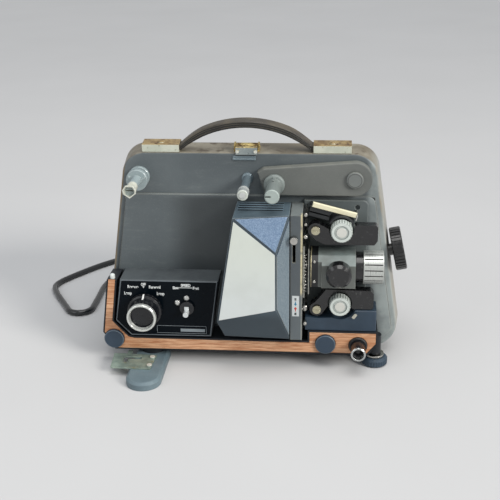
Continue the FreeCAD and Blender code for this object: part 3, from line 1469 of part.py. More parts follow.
def make_rear_feet():
    """Two rubber feet under the rear cover, plugged into it."""
    feet = []
    for side in ("-1", "1"):
        spot = ("%s * rear_foot_x" % side, "0", "rear_foot_a")
        feet.append(solid("Cone", *spot, REARWARD, Radius1="6.4", Radius2="7.4", Height="case_bottom + 1.5"))
        feet.append(rod(*spot, "3", "case_bottom + 8", REARWARD))
    return place(join(*feet))


# Mains cord: gland in the rear cover, a free stretch on the table, a coil behind the case and a plug
size("cord_diameter", 6)
size("gland_x", -85)
size("gland_h", 25)
size("mouth_a", -118)
size("coil_x", -20)
size("coil_a", -190)
size("coil_mean", 33)
size("coil_step", 6.9)
size("coil_tail", 26)
size("plug_length", 16)
doc.recompute()

COIL_TURNS = 3
COIL_CLIMB = 0.25

# Points of the free stretch: x, distance behind the face, height of the middle of the cord
ROUTE = [
    (-85, 118, 25), (-85, 133, 25), (-90, 150, 12.5), (-107, 163, 3), (-135, 170, 3), (-160, 161, 3),
    (-173, 138, 3), (-177, 92, 3), (-174.5, 67, 3), (-190, 62, 3), (-201, 90, 3), (-223, 112, 3),
    (-227, 132, 3), (-210, 163, 3), (-182, 198, 3), (-146, 223, 3), (-83, 233.35, 3), (-20, 233.35, 3)]


def route_path(points, turn_share=0.45):
    """Straight runs joined by tangent arcs; prints the bend radii."""
    spots = [V(*p) for p in points]
    edges = []
    here = spots[0]
    radii = []
    for before, corner, after in zip(spots, spots[1:], spots[2:]):
        run_in = corner - before
        run_out = after - corner
        reach = turn_share * min(run_in.Length, run_out.Length)
        half = run_in.getAngle(run_out) / 2
        radius = reach / math.tan(half)
        radii.append(round(radius, 1))
        inward = run_out * (1.0 / run_out.Length) - run_in * (1.0 / run_in.Length)
        inward.normalize()
        start = corner - run_in * (reach / run_in.Length)
        end = corner + run_out * (reach / run_out.Length)
        middle = corner + inward * (radius / math.cos(half) - radius)
        edges.append(Part.LineSegment(here, start).toShape())
        edges.append(Part.Arc(start, middle, end).toShape())
        here = end
    edges.append(Part.LineSegment(here, spots[-1]).toShape())
    print("cord bend radii", radii)
    return Part.Wire(edges)


def tube(path, name):
    """Round cord along a path."""
    start = path.Edges[0]
    way = start.tangentAt(start.FirstParameter)
    ring = Part.Circle(start.valueAt(start.FirstParameter), way, val("cord_diameter") / 2)
    shell = path.makePipeShell([Part.Wire([ring.toShape()])], True, False)
    area = math.pi * (val("cord_diameter") / 2) ** 2
    print(name, "volume over section times length", round(shell.Volume / (area * path.Length), 4),
          "length", round(path.Length, 1))
    return shell


def make_power_cord():
    """Free stretch of the mains cord: out of the gland, round a fold on the table, back to the coil."""
    shift = V(val("gland_x") - ROUTE[0][0], -val("mouth_a") - ROUTE[0][1], 0)
    cord = doc.addObject("Part::Feature", "power_cord")
    cord.Shape = tube(route_path([V(*p) + shift * (1 if i < 2 else 0) for i, p in enumerate(ROUTE)]), "cord")
    return place(cord, "0", "0", "0", UPRIGHT)


def coil_point(turn):
    """Point of the coil after a number of turns: wound inwards, then outwards on top of itself."""
    step = val("coil_step")
    outer = val("coil_mean") + COIL_TURNS * step / 2
    if turn <= COIL_TURNS:
        radius = outer - step * turn
        height = 0
    elif turn <= COIL_TURNS + COIL_CLIMB:
        radius = outer - step * COIL_TURNS
        height = step * (1 - math.cos(math.pi * (turn - COIL_TURNS) / COIL_CLIMB)) / 2
    else:
        radius = outer - step * COIL_TURNS + step * (turn - COIL_TURNS - COIL_CLIMB)
        height = step
    angle = math.pi / 2 - 2 * math.pi * turn
    return V(radius * math.cos(angle), radius * math.sin(angle), height + val("cord_diameter") / 2)


def coil_direction(turn):
    """Direction of the cord there; level at the two ends, where it meets the free stretch and the plug."""
    if turn == 0:
        return V(1, 0, 0)
    ahead = coil_point(turn + 0.001) - coil_point(turn - 0.001)
    ahead.normalize()
    return ahead


def coil_end():
    """Where the last turn ends, and the level direction in which the cord goes on to its plug."""
    total = 2 * COIL_TURNS + COIL_CLIMB
    way = coil_direction(total - 0.001)
    return coil_point(total), V(way.x, way.y, 0).normalize()


def biarc(a, way_a, b, way_b):
    """Two tangent arcs between two points with given directions."""
    chord = b - a
    both = way_a + way_b
    bend = 2 * (1 - way_a.dot(way_b))
    reach = (-chord.dot(both) + math.sqrt(chord.dot(both) ** 2 + bend * chord.dot(chord))) / bend
    knee_a = a + way_a * reach
    knee_b = b - way_b * reach
    joint = (knee_a + knee_b) * 0.5
    edges = []
    for start, knee, end in ((a, knee_a, joint), (joint, knee_b, b)):
        half = (knee - start).getAngle(end - knee) / 2
        inward = (end - knee) * (1.0 / reach) - (knee - start) * (1.0 / reach)
        inward.normalize()
        radius = reach / math.tan(half)
        middle = knee + inward * (radius / math.cos(half) - radius)
        edges.append(Part.Arc(start, middle, end).toShape())
    return edges


def make_coil():
    """The rest of the cord, put away in a flat coil of two layers behind the case."""
    total = 2 * COIL_TURNS + COIL_CLIMB
    quarters = int(total * 4)
    edges = []
    for k in range(quarters):
        a = k / 4.0
        b = (k + 1) / 4.0
        way_out = coil_direction(b) if k < quarters - 1 else coil_end()[1]
        edges += biarc(coil_point(a), coil_direction(a), coil_point(b), way_out)
    end, way = coil_end()
    edges.append(Part.LineSegment(end, end + way * val("coil_tail")).toShape())
    path = Part.Wire(edges)
    samples = [coil_point(total * i / 1500) for i in range(1501)]
    gap = 1000.0
    for i in range(0, 1501, 3):
        for j in range(i + 150, 1501, 3):
            gap = min(gap, (samples[i] - samples[j]).Length)
    print("coil least gap to itself", round(gap - val("cord_diameter"), 2))
    coil = doc.addObject("Part::Feature", "cord_coil")
    coil.Shape = tube(path, "coil")
    return place(coil, "coil_x", "0", "coil_a", UPRIGHT)


def make_cord_gland():
    """Rubber gland in the rear cover."""
    body = new_body("cord_gland")
    turned(body, [("cord_diameter / 2 + seat_gap", "cover_back - 8"), ("5.5", "cover_back - 8"),
                  ("5.5", "cover_back + 0.2"), ("8", "cover_back + 0.2"), ("8", "cover_back + 2"),
                  ("5.4", "cover_back + 3"), ("4", "-mouth_a"), ("0", "-mouth_a"), ("0", "-mouth_a - 2"),
                  ("cord_diameter / 2 + seat_gap", "-mouth_a - 2")])
    return place(body, "gland_x", "gland_h", "0", REARWARD)


def make_plug():
    """Two-pin mains plug at the end of the cord, lying on the table beside the coil."""
    end, way = coil_end()
    end = end + way * val("coil_tail")
    thick = "coil_step + cord_diameter / 2"
    handle = solid("Cone", "0", "0", "0", ACROSS, Radius1="4.2", Radius2=thick, Height="10")
    barrel = rod("10", "0", "0", thick, "plug_length", ACROSS)
    pins = [block("10 + plug_length", y, "-3", "26 + plug_length", "%s + 1.6" % y, "3")
            for y in ("-7", "5.4")]
    plug = join(handle, barrel, *pins)
    turn = FreeCAD.Rotation(V(1, 0, 0), way)
    return place(plug, "coil_x + (%.2f)" % end.x, "%.2f" % end.z, "coil_a - (%.2f)" % end.y, turn)


def make_base_moulding():
    """Base moulding with the two bosses of its front feet."""
    return join(make_base_frame(), make_foot_bosses())


def make_base_fittings():
    """Small round pieces on the base moulding: caps, buffer and the collar of the push button."""
    return join(make_trim_caps(), make_index_bumper(), make_button_collar())


def make_lamp_house_plates():
    """Front plate and tinted facet sheets of the lamp house."""
    return join(make_name_plate(), make_facet_inlays())


def make_lamp_unit():
    return join(make_lamp(), make_lamp_socket())


def make_gate_plates():
    """Gate plate and spring plate, with the film channel between them."""
    return join(make_film_gate(), make_pressure_plate())


def make_film_guides():
    """Film channel over the upper sprocket, guide bar and clip."""
    return join(make_film_guide(), make_film_guide_bar())


def make_panel_and_guard():
    return join(make_film_path_panel(), make_sprocket_guard())


def make_housing_and_shoe():
    return join(make_lower_housing(), make_film_shoe())


def make_screws():
    return join(make_lever_screws(), make_panel_screws())


def make_brackets_and_rivets():
    return join(make_handle_brackets(), make_rivets())


def make_latch_plates():
    return join(make_latch_base(), make_latch_catch())


def make_dial():
    return join(make_mode_dial(), make_dial_ring())


def make_button():
    return join(make_rewind_button(), make_button_tip())


PIECES = [
    ("case_frame", make_case_frame), ("rear_cover", make_rear_cover), ("chassis_plate", make_chassis_plate),
    ("control_box", make_control_box), ("control_panel", make_control_panel),
    ("base_moulding", make_base_moulding), ("wood_trim", make_wood_trim),
    ("base_fittings", make_base_fittings), ("lamp_house", make_lamp_house),
    ("lamp_house_plates", make_lamp_house_plates), ("lamp", make_lamp_unit),
    ("gate_cover", make_gate_cover), ("film_gate", make_gate_plates), ("claw_arm", make_claw),
    ("film_path_panel", make_panel_and_guard), ("lower_housing", make_housing_and_shoe),
    ("film_guide", make_film_guides),
    ("upper_sprocket", lambda: make_sprocket("upper_sprocket", "upper_h")),
    ("lower_sprocket", lambda: make_sprocket("lower_sprocket", "lower_h")),
    ("upper_guide_lever", make_upper_guide_lever), ("lower_guide_lever", make_lower_guide_lever),
    ("screws", make_screws), ("lens_holder", make_lens_holder), ("focus_knob", make_focus_knob),
    ("lens_barrel", make_lens_barrel), ("lens_grip_ring", make_lens_grip), ("lens_glass", make_lens_glass),
    ("framing_knob", make_framing_knob), ("format_lever", make_format_lever), ("reel_arm", make_reel_arm),
    ("arm_pivot_pin", make_arm_pin), ("arm_spindle", make_arm_spindle),
    ("takeup_spindle", make_takeup_spindle), ("guide_post", make_guide_post),
    ("guide_roller", make_guide_roller), ("handle_strap", make_handle_strap),
    ("handle_brackets", make_brackets_and_rivets), ("latch_plates", make_latch_plates),
    ("latch_hook", make_latch_hook), ("main_shaft", make_main_shaft), ("shutter_disc", make_shutter),
    ("motor", make_motor), ("motor_fan", make_fan), ("drive_belt", make_belt),
    ("inching_knob", make_inching_knob), ("mode_dial", make_dial), ("speed_lever", make_speed_lever),
    ("rewind_button", make_button), ("swing_foot", make_swing_foot),
    ("foot_latch_plate", make_foot_latch), ("foot_pad", make_foot_pad),
    ("elevation_screw", make_elevation_screw), ("rear_feet", make_rear_feet),
    ("cord_gland", make_cord_gland), ("power_cord", make_power_cord), ("cord_coil", make_coil),
    ("plug", make_plug)]

CORD_NODES = ("cord_gland", "power_cord", "cord_coil", "plug")

for name, make in PIECES:
    node(make(), name)

doc.recompute()
for thing in NODES:
    if thing.Shape.isNull() or not thing.Shape.isValid():
        print("not valid:", thing.Label)


def extent(axis):
    boxes = [n.Shape.optimalBoundingBox(False, False) for n in NODES if n.Label not in CORD_NODES]
    return min(getattr(b, axis + "Min") for b in boxes), max(getattr(b, axis + "Max") for b in boxes)


# The frame's origin is under the middle of the projector, without its cord
low_x, high_x = extent("X")
low_y, high_y = extent("Y")
sheet.set("B%d" % SIZES["origin_x"], "%.3f" % (-(low_x + high_x) / 2))
sheet.set("B%d" % SIZES["origin_y"], "%.3f" % (-(low_y + high_y) / 2))
for thing in NODES:
    if thing.TypeId == "Part::Feature":
        thing.touch()
doc.recompute()
print("origin", val("origin_x"), val("origin_y"), "x", extent("X"), "y", extent("Y"), "z", extent("Z"))

bad = []
for thing in doc.Objects:
    if "Invalid" in thing.State or "Error" in thing.State:
        bad.append(thing.Name)
for thing in NODES:
    if thing.Shape.isNull() or not thing.Shape.isValid() or thing.Shape.Volume < 1:
        bad.append(thing.Label)
if bad:
    raise SystemExit("these pieces failed: " + ", ".join(bad))

for thing in NODES:
    thing.Shape.exportStep("parts/%s.step" % thing.Label)
print(len(NODES), "nodes")
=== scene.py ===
import math

import bpy
from mathutils import Matrix, Vector


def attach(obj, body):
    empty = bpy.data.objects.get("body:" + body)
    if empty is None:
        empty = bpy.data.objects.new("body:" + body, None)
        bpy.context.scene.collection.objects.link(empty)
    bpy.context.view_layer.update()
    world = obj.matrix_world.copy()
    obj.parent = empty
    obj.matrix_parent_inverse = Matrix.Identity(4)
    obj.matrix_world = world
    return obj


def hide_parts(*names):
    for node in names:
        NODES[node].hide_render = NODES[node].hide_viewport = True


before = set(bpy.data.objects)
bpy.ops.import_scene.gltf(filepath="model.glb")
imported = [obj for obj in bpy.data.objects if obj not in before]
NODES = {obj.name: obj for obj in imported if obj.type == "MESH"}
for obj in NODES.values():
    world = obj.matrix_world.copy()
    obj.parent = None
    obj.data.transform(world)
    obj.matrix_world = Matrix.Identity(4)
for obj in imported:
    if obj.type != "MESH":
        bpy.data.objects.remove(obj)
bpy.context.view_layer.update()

MM = 0.001

# The middle of the case face, on the table
ORIGIN = Vector((-2.601, -8.25, 0)) * MM

# Axes that point ahead, in millimetres right of the case's middle and above the table
SPROCKETS = ((81, 132), (81, 62.8))
DIAL = (-92.5, 54.5)
BUTTON = (97.9, 23)
CAPS = ((-122.9, 24), (68.9, 24))
TAKEUP = (-96.4, 170.2)
ARM_PIVOT = (91.5, 171.8)
FILM_SHOE = (94.2, 51.8)
LATCH_STUDS = ((-9.6, 193.6), (6.2, 193.6))
# The lens axis points right: how far ahead and above it lies
LENS = (18, 95.3)
# Raised field of the case: half its width at the table, what that loses per millimetre of height, and
# the height of its top edge
FIELD_HALF = 138.24
FIELD_LEAN = 0.15489
LEDGE = 154.56
# How far ahead the surfaces with print on them lie, how thick the print is, and how far a mark stands over
# its paper
FACIA_FACE = 27.6
GATE_FACE = 36.98
PRINT_THICK = 0.08
PRINT_STEP = 0.06


def spot(x, height, ahead):
    """A point from its distance right of the case's middle, above the table and ahead of the case face."""
    return ORIGIN + Vector((x, -ahead, height)) * MM


def rgb(red, green, blue):
    """A colour given as seen on a screen, 0 to 255."""
    out = []
    for part in (red, green, blue):
        part = part / 255
        out.append(part / 12.92 if part <= 0.04045 else ((part + 0.055) / 1.055) ** 2.4)
    return (*out, 1)


def clear_choice():
    for o in bpy.context.selected_objects:
        o.select_set(False)


# Camera: the photograph's view, from a little above and to the right
EYE = (69.15, 405.99, 745.43)
PITCH = math.radians(22.1)
YAW = math.radians(-5.3)
ROLL = math.radians(-0.92)
FOCAL = 64.8


def make_camera():
    lens = bpy.data.cameras.new("camera")
    lens.sensor_width = 36
    lens.lens = FOCAL
    camera = bpy.data.objects.new("camera", lens)
    bpy.context.collection.objects.link(camera)
    forward = Vector((math.sin(YAW) * math.cos(PITCH), math.cos(YAW) * math.cos(PITCH), -math.sin(PITCH)))
    level = Vector((math.cos(YAW), -math.sin(YAW), 0))
    upward = level.cross(forward)
    right = level * math.cos(ROLL) + upward * math.sin(ROLL)
    top = upward * math.cos(ROLL) - level * math.sin(ROLL)
    turn = Matrix((right, top, -forward)).transposed()
    camera.matrix_world = Matrix.Translation(spot(*EYE)) @ turn.to_4x4()
    bpy.context.scene.camera = camera


make_camera()
clear_choice()


# Surfaces: every one is worked out from Object coordinates. The two values say how far an edge turns before
# it counts as worn, and how far a small edge is rounded
EDGE_START = 0.02
SMALL_EDGE = 0.0004


class Surface:
    """A procedural material, built step by step."""

    def __init__(self, name, rough=0.5, metal=0.0):
        self.material = bpy.data.materials.new(name)
        self.material.use_nodes = True
        self.tree = self.material.node_tree
        self.round = None
        self.shader = self.tree.nodes["Principled BSDF"]
        self.fixed("Roughness", rough)
        self.fixed("Metallic", metal)
        coordinates = self.node("ShaderNodeTexCoord")
        self.place = coordinates.outputs["Object"]
        self.outward = coordinates.outputs["Normal"]
        self.scaled = None

    def node(self, kind, **settings):
        made = self.tree.nodes.new(kind)
        for name, value in settings.items():
            setattr(made, name, value)
        return made

    def feed(self, socket, value):
        if isinstance(value, bpy.types.NodeSocket):
            self.tree.links.new(value, socket)
        else:
            socket.default_value = value

    def stretched(self, x, y, z):
        mapping = self.node("ShaderNodeMapping")
        self.feed(mapping.inputs["Vector"], self.place)
        mapping.inputs["Scale"].default_value = (x, y, z)
        return mapping.outputs["Vector"]

    def noise(self, scale, detail, roughness=0.55, vector=None):
        made = self.node("ShaderNodeTexNoise")
        self.feed(made.inputs["Vector"], vector or self.place)
        made.inputs["Scale"].default_value = scale
        made.inputs["Detail"].default_value = detail
        made.inputs["Roughness"].default_value = roughness
        return made.outputs["Fac"]

    def math(self, operation, one, other=0.0):
        made = self.node("ShaderNodeMath", operation=operation)
        self.feed(made.inputs[0], one)
        self.feed(made.inputs[1], other)
        return made.outputs[0]

    def between(self, value, low, high, start=0.0, end=1.0):
        made = self.node("ShaderNodeMapRange", interpolation_type="SMOOTHSTEP")
        for socket, given in zip(made.inputs, (value, low, high, start, end)):
            self.feed(socket, given)
        return made.outputs[0]

    def mix(self, share, one, other):
        made = self.node("ShaderNodeMix", data_type="RGBA")
        self.feed(made.inputs[0], share)
        self.feed(made.inputs[6], one)
        self.feed(made.inputs[7], other)
        return made.outputs[2]

    def axis(self, vector, name):
        parts = self.node("ShaderNodeSeparateXYZ")
        self.feed(parts.inputs[0], vector)
        return parts.outputs[name]

    def facing(self, name):
        """How far the surface of the piece at rest faces along X, Y or Z."""
        return self.axis(self.outward, name)

    def soften(self, radius):
        """Lets sharp edges catch the light as if rounded."""
        soft = self.node("ShaderNodeBevel", samples=4)
        soft.inputs["Radius"].default_value = radius
        self.round = soft.outputs["Normal"]

    def edges(self, radius, gain):
        """Bright along sharp edges, which are softened too."""
        self.soften(radius)
        true = self.node("ShaderNodeNewGeometry").outputs["Normal"]
        both = self.vector("DOT_PRODUCT", self.round, true, output="Value")
        return self.between(self.math("SUBTRACT", 1.0, both), EDGE_START, EDGE_START + 1 / gain)

    def vector(self, operation, one, other, third=None, output="Vector"):
        made = self.node("ShaderNodeVectorMath", operation=operation)
        for socket, given in zip(made.inputs, (one, other, third)):
            if given is not None:
                self.feed(socket, given)
        return made.outputs[output]

    def spots(self):
        """Place in millimetres: right of the case's middle, ahead of its face, above the table."""
        if self.scaled is None:
            self.scaled = self.vector("MULTIPLY_ADD", self.place, (1000, -1000, 1000),
                                      (-ORIGIN.x * 1000, ORIGIN.y * 1000, 0))
        return self.scaled

    def right(self):
        return self.axis(self.spots(), "X")

    def ahead(self):
        return self.axis(self.spots(), "Y")

    def above(self):
        return self.axis(self.spots(), "Z")

    def from_axis(self, place):
        """Distance from an axis that points ahead."""
        away = self.vector("SUBTRACT", self.spots(), (place[0], 0, place[1]))
        return self.vector("LENGTH", self.vector("MULTIPLY", away, (1, 0, 1)), None, output="Value")

    def from_either(self, places):
        """Distance from the nearer of two such axes."""
        return self.math("MINIMUM", self.from_axis(places[0]), self.from_axis(places[1]))

    def over(self, value, low, soft=0.2):
        return self.between(value, low - soft, low + soft)

    def band(self, value, low, high, soft=0.2):
        return self.math("MULTIPLY", self.over(value, low, soft), self.under(value, high, soft))

    def under(self, value, high, soft=0.2):
        return self.between(value, high - soft, high + soft, 1, 0)

    def both(self, *shares):
        out = shares[0]
        for share in shares[1:]:
            out = self.math("MULTIPLY", out, share)
        return out

    def either(self, one, other):
        return self.math("MAXIMUM", one, other)

    def cloud(self, scale, detail, one, other):
        """A tone that drifts between two colours."""
        return self.mix(self.noise(scale, detail), rgb(*one), rgb(*other))

    def stain(self, tone, colour, scale, detail, low, high, share=1.0, roughness=0.55):
        """Patches of a colour over a tone."""
        patches = self.between(self.noise(scale, detail, roughness), low, high, 0, share)
        return self.mix(patches, tone, rgb(*colour))

    def worn(self, tone, colour, radius, gain, share):
        """A tone with another colour along its edges."""
        return self.mix(self.both(self.edges(radius, gain), share), tone, rgb(*colour))

    def fixed(self, socket, value):
        """Sets a value that is the same all over."""
        self.shader.inputs[socket].default_value = value

    def colour(self, value):
        self.feed(self.shader.inputs["Base Color"], value)

    def rough(self, value):
        self.feed(self.shader.inputs["Roughness"], value)

    def uneven(self, scale, detail, low, high, roughness=0.55):
        """Gloss that varies from place to place."""
        self.rough(self.between(self.noise(scale, detail, roughness), 0.3, 0.7, low, high))

    def metallic(self, value):
        self.feed(self.shader.inputs["Metallic"], value)

    def bump(self, height, strength, distance=0.0004):
        made = self.node("ShaderNodeBump")
        made.inputs["Strength"].default_value = strength
        made.inputs["Distance"].default_value = distance
        self.feed(made.inputs["Height"], height)
        if self.round is None:
            self.soften(SMALL_EDGE)
        self.feed(made.inputs["Normal"], self.round)
        self.feed(self.shader.inputs["Normal"], made.outputs["Normal"])

    def grain(self, scale, detail, strength, distance=0.0004):
        """Fine unevenness all over."""
        self.bump(self.noise(scale, detail), strength, distance)


def enamel(name, dark, light, dust, wear, rough=0.55, grain=900, dusting=0.6, worn_share=0.75, broken=True):
    """Fine-textured paint: cloudy tone, dust on what faces up, pale wear along the edges."""
    s = Surface(name, rough)
    tone = s.mix(s.between(s.noise(9, 6), 0.35, 0.65), dark, light)
    fine = s.noise(grain, 2)
    tone = s.mix(s.between(fine, 0.55, 0.72, 0, 0.35), tone, light)
    lying = s.between(s.facing("Z"), 0.35, 0.9)
    patches = s.between(s.noise(42, 5, 0.65), 0.32, 0.62, 0.35, 1.0)
    tone = s.mix(s.both(lying, patches, dusting), tone, dust)
    worn = s.edges(0.0011, 5)
    if broken:
        worn = s.both(worn, s.between(s.noise(70, 4), 0.38, 0.6))
    tone = s.mix(s.both(worn, worn_share), tone, wear)
    s.uneven(30, 3, rough - 0.08, rough + 0.12)
    s.bump(fine, 0.35, 0.0002)
    s.colour(tone)
    s.tone = tone
    return s


def plastic(name, dark, light, rough=0.3, coat=0.0, grain=60, spots=0.0, shine=0.5):
    """Moulded plastic: an even tone with faint handling marks."""
    s = Surface(name, rough)
    tone = s.mix(s.noise(grain, 5), dark, light)
    if spots:
        tone = s.mix(s.between(s.noise(420, 2), 0.62, 0.72, 0, spots), tone, rgb(150, 150, 148))
    s.uneven(45, 6, rough - 0.07, rough + 0.13, 0.6)
    s.fixed("Coat Weight", coat)
    s.fixed("Coat Roughness", 0.08)
    s.fixed("Specular IOR Level", shine)
    s.grain(120, 3, 0.05)
    s.colour(tone)
    s.tone = tone
    return s


def metal(name, dark, light, rough, stain=None):
    """Plated or turned metal, faintly mottled, with stains."""
    s = Surface(name, rough, 1.0)
    lines = s.noise(260, 3, 0.6)
    tone = s.mix(lines, dark, light)
    if stain:
        tone = s.mix(s.between(s.noise(55, 6, 0.7), 0.45, 0.68, 0, 0.8), tone, stain)
    s.uneven(90, 4, rough - 0.1, rough + 0.16)
    s.bump(lines, 0.08, 0.0001)
    s.colour(tone)
    return s


def make_case_paint():
    """Case paint: slate front, rubbed around the raised field, dusty brown top and worn rim."""
    s = Surface("case_paint", 0.5)
    tone = s.stain(rgb(80, 87, 90), (98, 105, 107), 7, 6, 0.35, 0.65)
    fine = s.noise(850, 2)
    tone = s.mix(s.between(fine, 0.55, 0.72, 0, 0.25), tone, rgb(116, 122, 122))
    # Rubbed line beside the raised field, scuffs, a painted shadow of the lamp house over the middle and the
    # paler right end
    height = s.above()
    lean = s.math("ADD", s.math("MULTIPLY", height, FIELD_LEAN), s.math("ABSOLUTE", s.right()))
    outside = s.math("SUBTRACT", lean, FIELD_HALF)
    patchy = s.between(s.noise(55, 5), 0.36, 0.62, 0.3, 1.0)
    rub = s.both(s.band(outside, -1.6, 1.0, 0.4), patchy)
    tone = s.mix(rub, tone, rgb(122, 104, 78))
    scuffs = s.noise(30, 7, 0.7, s.stretched(1, 1, 4))
    tone = s.mix(s.between(scuffs, 0.54, 0.7, 0, 0.2), tone, rgb(124, 130, 128))
    # Painted shadow: the middle of the field beside the lamp house is darkened as if in its shade
    painted_lamp_house_shadow = s.both(s.band(s.right(), -62, 20, 16), s.band(height, 78, 153, 3))
    tone = s.mix(s.both(painted_lamp_house_shadow, 0.7), tone, rgb(46, 50, 51))
    # Paler patches over the right end of the face
    right_end_patches = s.between(s.noise(34, 6), 0.3, 0.6, 0.3, 0.85)
    right_end_pale = s.both(s.over(s.right(), 104, 3), s.over(outside, -17, 4), right_end_patches)
    tone = s.mix(right_end_pale, tone, rgb(166, 174, 172))
    side = s.between(s.math("ABSOLUTE", s.facing("X")), 0.55, 0.9)
    rim = s.both(side, s.between(s.noise(26, 5), 0.3, 0.65, 0.35, 0.95))
    tone = s.mix(rim, tone, rgb(150, 146, 136))
    lying = s.both(s.between(s.facing("Z"), 0.3, 0.85), s.over(height, 172, 2))
    blotches = s.between(s.noise(24, 6, 0.65), 0.4, 0.62)
    dusty = s.mix(blotches, rgb(106, 97, 80), rgb(144, 137, 121))
    dusty = s.stain(dusty, (84, 72, 54), 75, 4, 0.58, 0.68)
    tone = s.mix(s.both(lying, 0.92), tone, dusty)
    worn = s.both(s.edges(0.0014, 6), s.between(s.noise(60, 4), 0.3, 0.5, 0.35, 1))
    tone = s.mix(s.both(worn, 0.75), tone, rgb(138, 138, 130))
    s.colour(tone)
    s.uneven(25, 4, 0.4, 0.6)
    s.bump(fine, 0.3, 0.0002)
    return s


def make_bead_paint():
    """Sloped border of the raised field: darker paint as painted shade, pale rubbed edges, and a painted
    shadow along the ledge with painted highlight lines either side of it.
    """
    s = Surface("bead_paint", 0.5)
    fine = s.noise(850, 2)
    # Painted shade: the whole border is darker than the case paint
    tone = s.mix(fine, rgb(38, 42, 44), rgb(56, 61, 63))
    top = s.above()
    # Painted shadow in a band just under the ledge
    tone = s.mix(s.band(top, 151, 153.7, 0.3), tone, rgb(20, 22, 23))
    # Painted highlight lines either side of that shadow
    tone = s.mix(s.either(s.band(top, 150, 151, 0.2), s.over(top, 153.8, 0.2)), tone, rgb(124, 130, 128))
    worn = s.both(s.edges(0.0009, 3), s.between(s.noise(45, 4), 0.3, 0.55, 0.4, 1))
    tone = s.mix(worn, tone, rgb(160, 164, 160))
    s.colour(tone)
    s.bump(fine, 0.3, 0.0002)
    return s


def make_wood():
    """Wood-grain foil, the grain running across the projector."""
    s = Surface("wood_grain", 0.4)
    streaks = s.noise(30, 7, 0.65, s.stretched(1.4, 1, 24))
    tone = s.mix(s.between(streaks, 0.36, 0.62), rgb(172, 114, 76), rgb(218, 172, 134))
    pores = s.noise(70, 5, 0.7, s.stretched(1.2, 1, 36))
    tone = s.mix(s.between(pores, 0.54, 0.66, 0, 0.7), tone, rgb(124, 78, 50))
    broad = s.noise(8, 3, 0.5, s.stretched(1, 1, 5))
    tone = s.mix(s.between(broad, 0.42, 0.64, 0, 0.45), tone, rgb(188, 124, 80))
    fibres = s.noise(160, 3, 0.6, s.stretched(1, 1, 12))
    tone = s.mix(s.between(fibres, 0.58, 0.7, 0, 0.35), tone, rgb(222, 190, 158))
    s.colour(tone)
    s.uneven(80, 3, 0.32, 0.52)
    s.bump(pores, 0.12, 0.0001)
    return s


def make_plate_paint():
    """Pale front plate; the triangular sheet is tinted slate blue and the narrow one a lighter blue-grey,
    both painted reflections of the sky on sheets facing up and right.
    """
    s = Surface("lamp_house_sheets", 0.42)
    pale = s.mix(s.between(s.above(), 60, 130), rgb(205, 210, 208), rgb(208, 213, 204))
    pale = s.stain(pale, (184, 188, 182), 48, 6, 0.4, 0.75, 0.25, roughness=0.6)
    speckle = s.between(s.noise(1100, 2), 0.4, 0.62)
    # Painted sky reflection: blue on what faces up, blue-grey on what faces right
    blue = s.mix(speckle, rgb(98, 121, 148), rgb(128, 148, 172))
    grey = s.mix(speckle, rgb(100, 114, 124), rgb(120, 132, 138))
    tone = s.mix(s.between(s.facing("Z"), 0.06, 0.12), pale, blue)
    tone = s.mix(s.between(s.facing("X"), 0.3, 0.5), tone, grey)
    tone = s.worn(tone, (220, 222, 218), 0.0005, 4, 0.5)
    s.colour(tone)
    s.bump(speckle, 0.12, 0.0001)
    return s


def make_lamp_house_paint():
    """Lamp house: blue-grey paint, darker towards its foot, with painted bluish highlights on the ribs and
    painted shade in the cooling slots.
    """
    s = enamel("lamp_house_paint", rgb(55, 67, 75), rgb(76, 90, 99), rgb(102, 121, 131), rgb(158, 168, 170),
               dusting=0.5, worn_share=0.7, broken=False)
    tone = s.mix(s.both(s.under(s.above(), 60, 8), 0.75), s.tone, rgb(42, 52, 59))
    grille = s.both(s.band(s.right(), -8.4, 31.4), s.band(s.ahead(), 4.1, 26))
    level = s.above()
    # Painted highlight on the tops of the ribs between the cooling slots
    tone = s.mix(s.both(grille, s.over(level, 147.6, 0.1), 0.6), tone, rgb(110, 132, 146))
    # Painted shade deep in the cooling slots
    s.colour(s.mix(s.both(grille, s.under(level, 148.4, 0.1)), tone, rgb(10, 13, 16)))
    return s


def make_housing_plastic():
    """Lower housing: slate plastic with a small pale film shoe under the sprocket."""
    s = plastic("housing_plastic", rgb(32, 46, 60), rgb(50, 68, 84), 0.42)
    shoe = s.both(s.under(s.from_axis(FILM_SHOE), 2.6, 0.15), s.over(s.ahead(), 27, 0.2))
    s.colour(s.mix(shoe, s.tone, s.cloud(150, 3, (150, 150, 138), (190, 188, 174))))
    return s


def make_gate_paint():
    """Gate cover: dark paint whose right edge is rubbed to pale brass."""
    s = enamel("gate_cover_paint", rgb(72, 78, 82), rgb(92, 99, 102), rgb(124, 130, 128), rgb(160, 152, 124),
               dusting=0.7)
    strip = s.both(s.over(s.right(), 46.5, 0.15), s.over(s.ahead(), 30, 2), s.over(s.above(), 76, 3))
    broken = s.between(s.noise(90, 5, 0.65), 0.34, 0.5, 0.25, 1)
    pale = s.cloud(140, 4, (168, 156, 118), (214, 206, 176))
    tone = s.mix(s.both(strip, broken), s.tone, pale)
    low = s.both(s.over(s.right(), 46.9, 0.15), s.under(s.above(), 76, 3), s.over(s.ahead(), 30, 2))
    s.colour(s.mix(s.both(low, broken, 0.5), tone, rgb(150, 152, 146)))
    return s


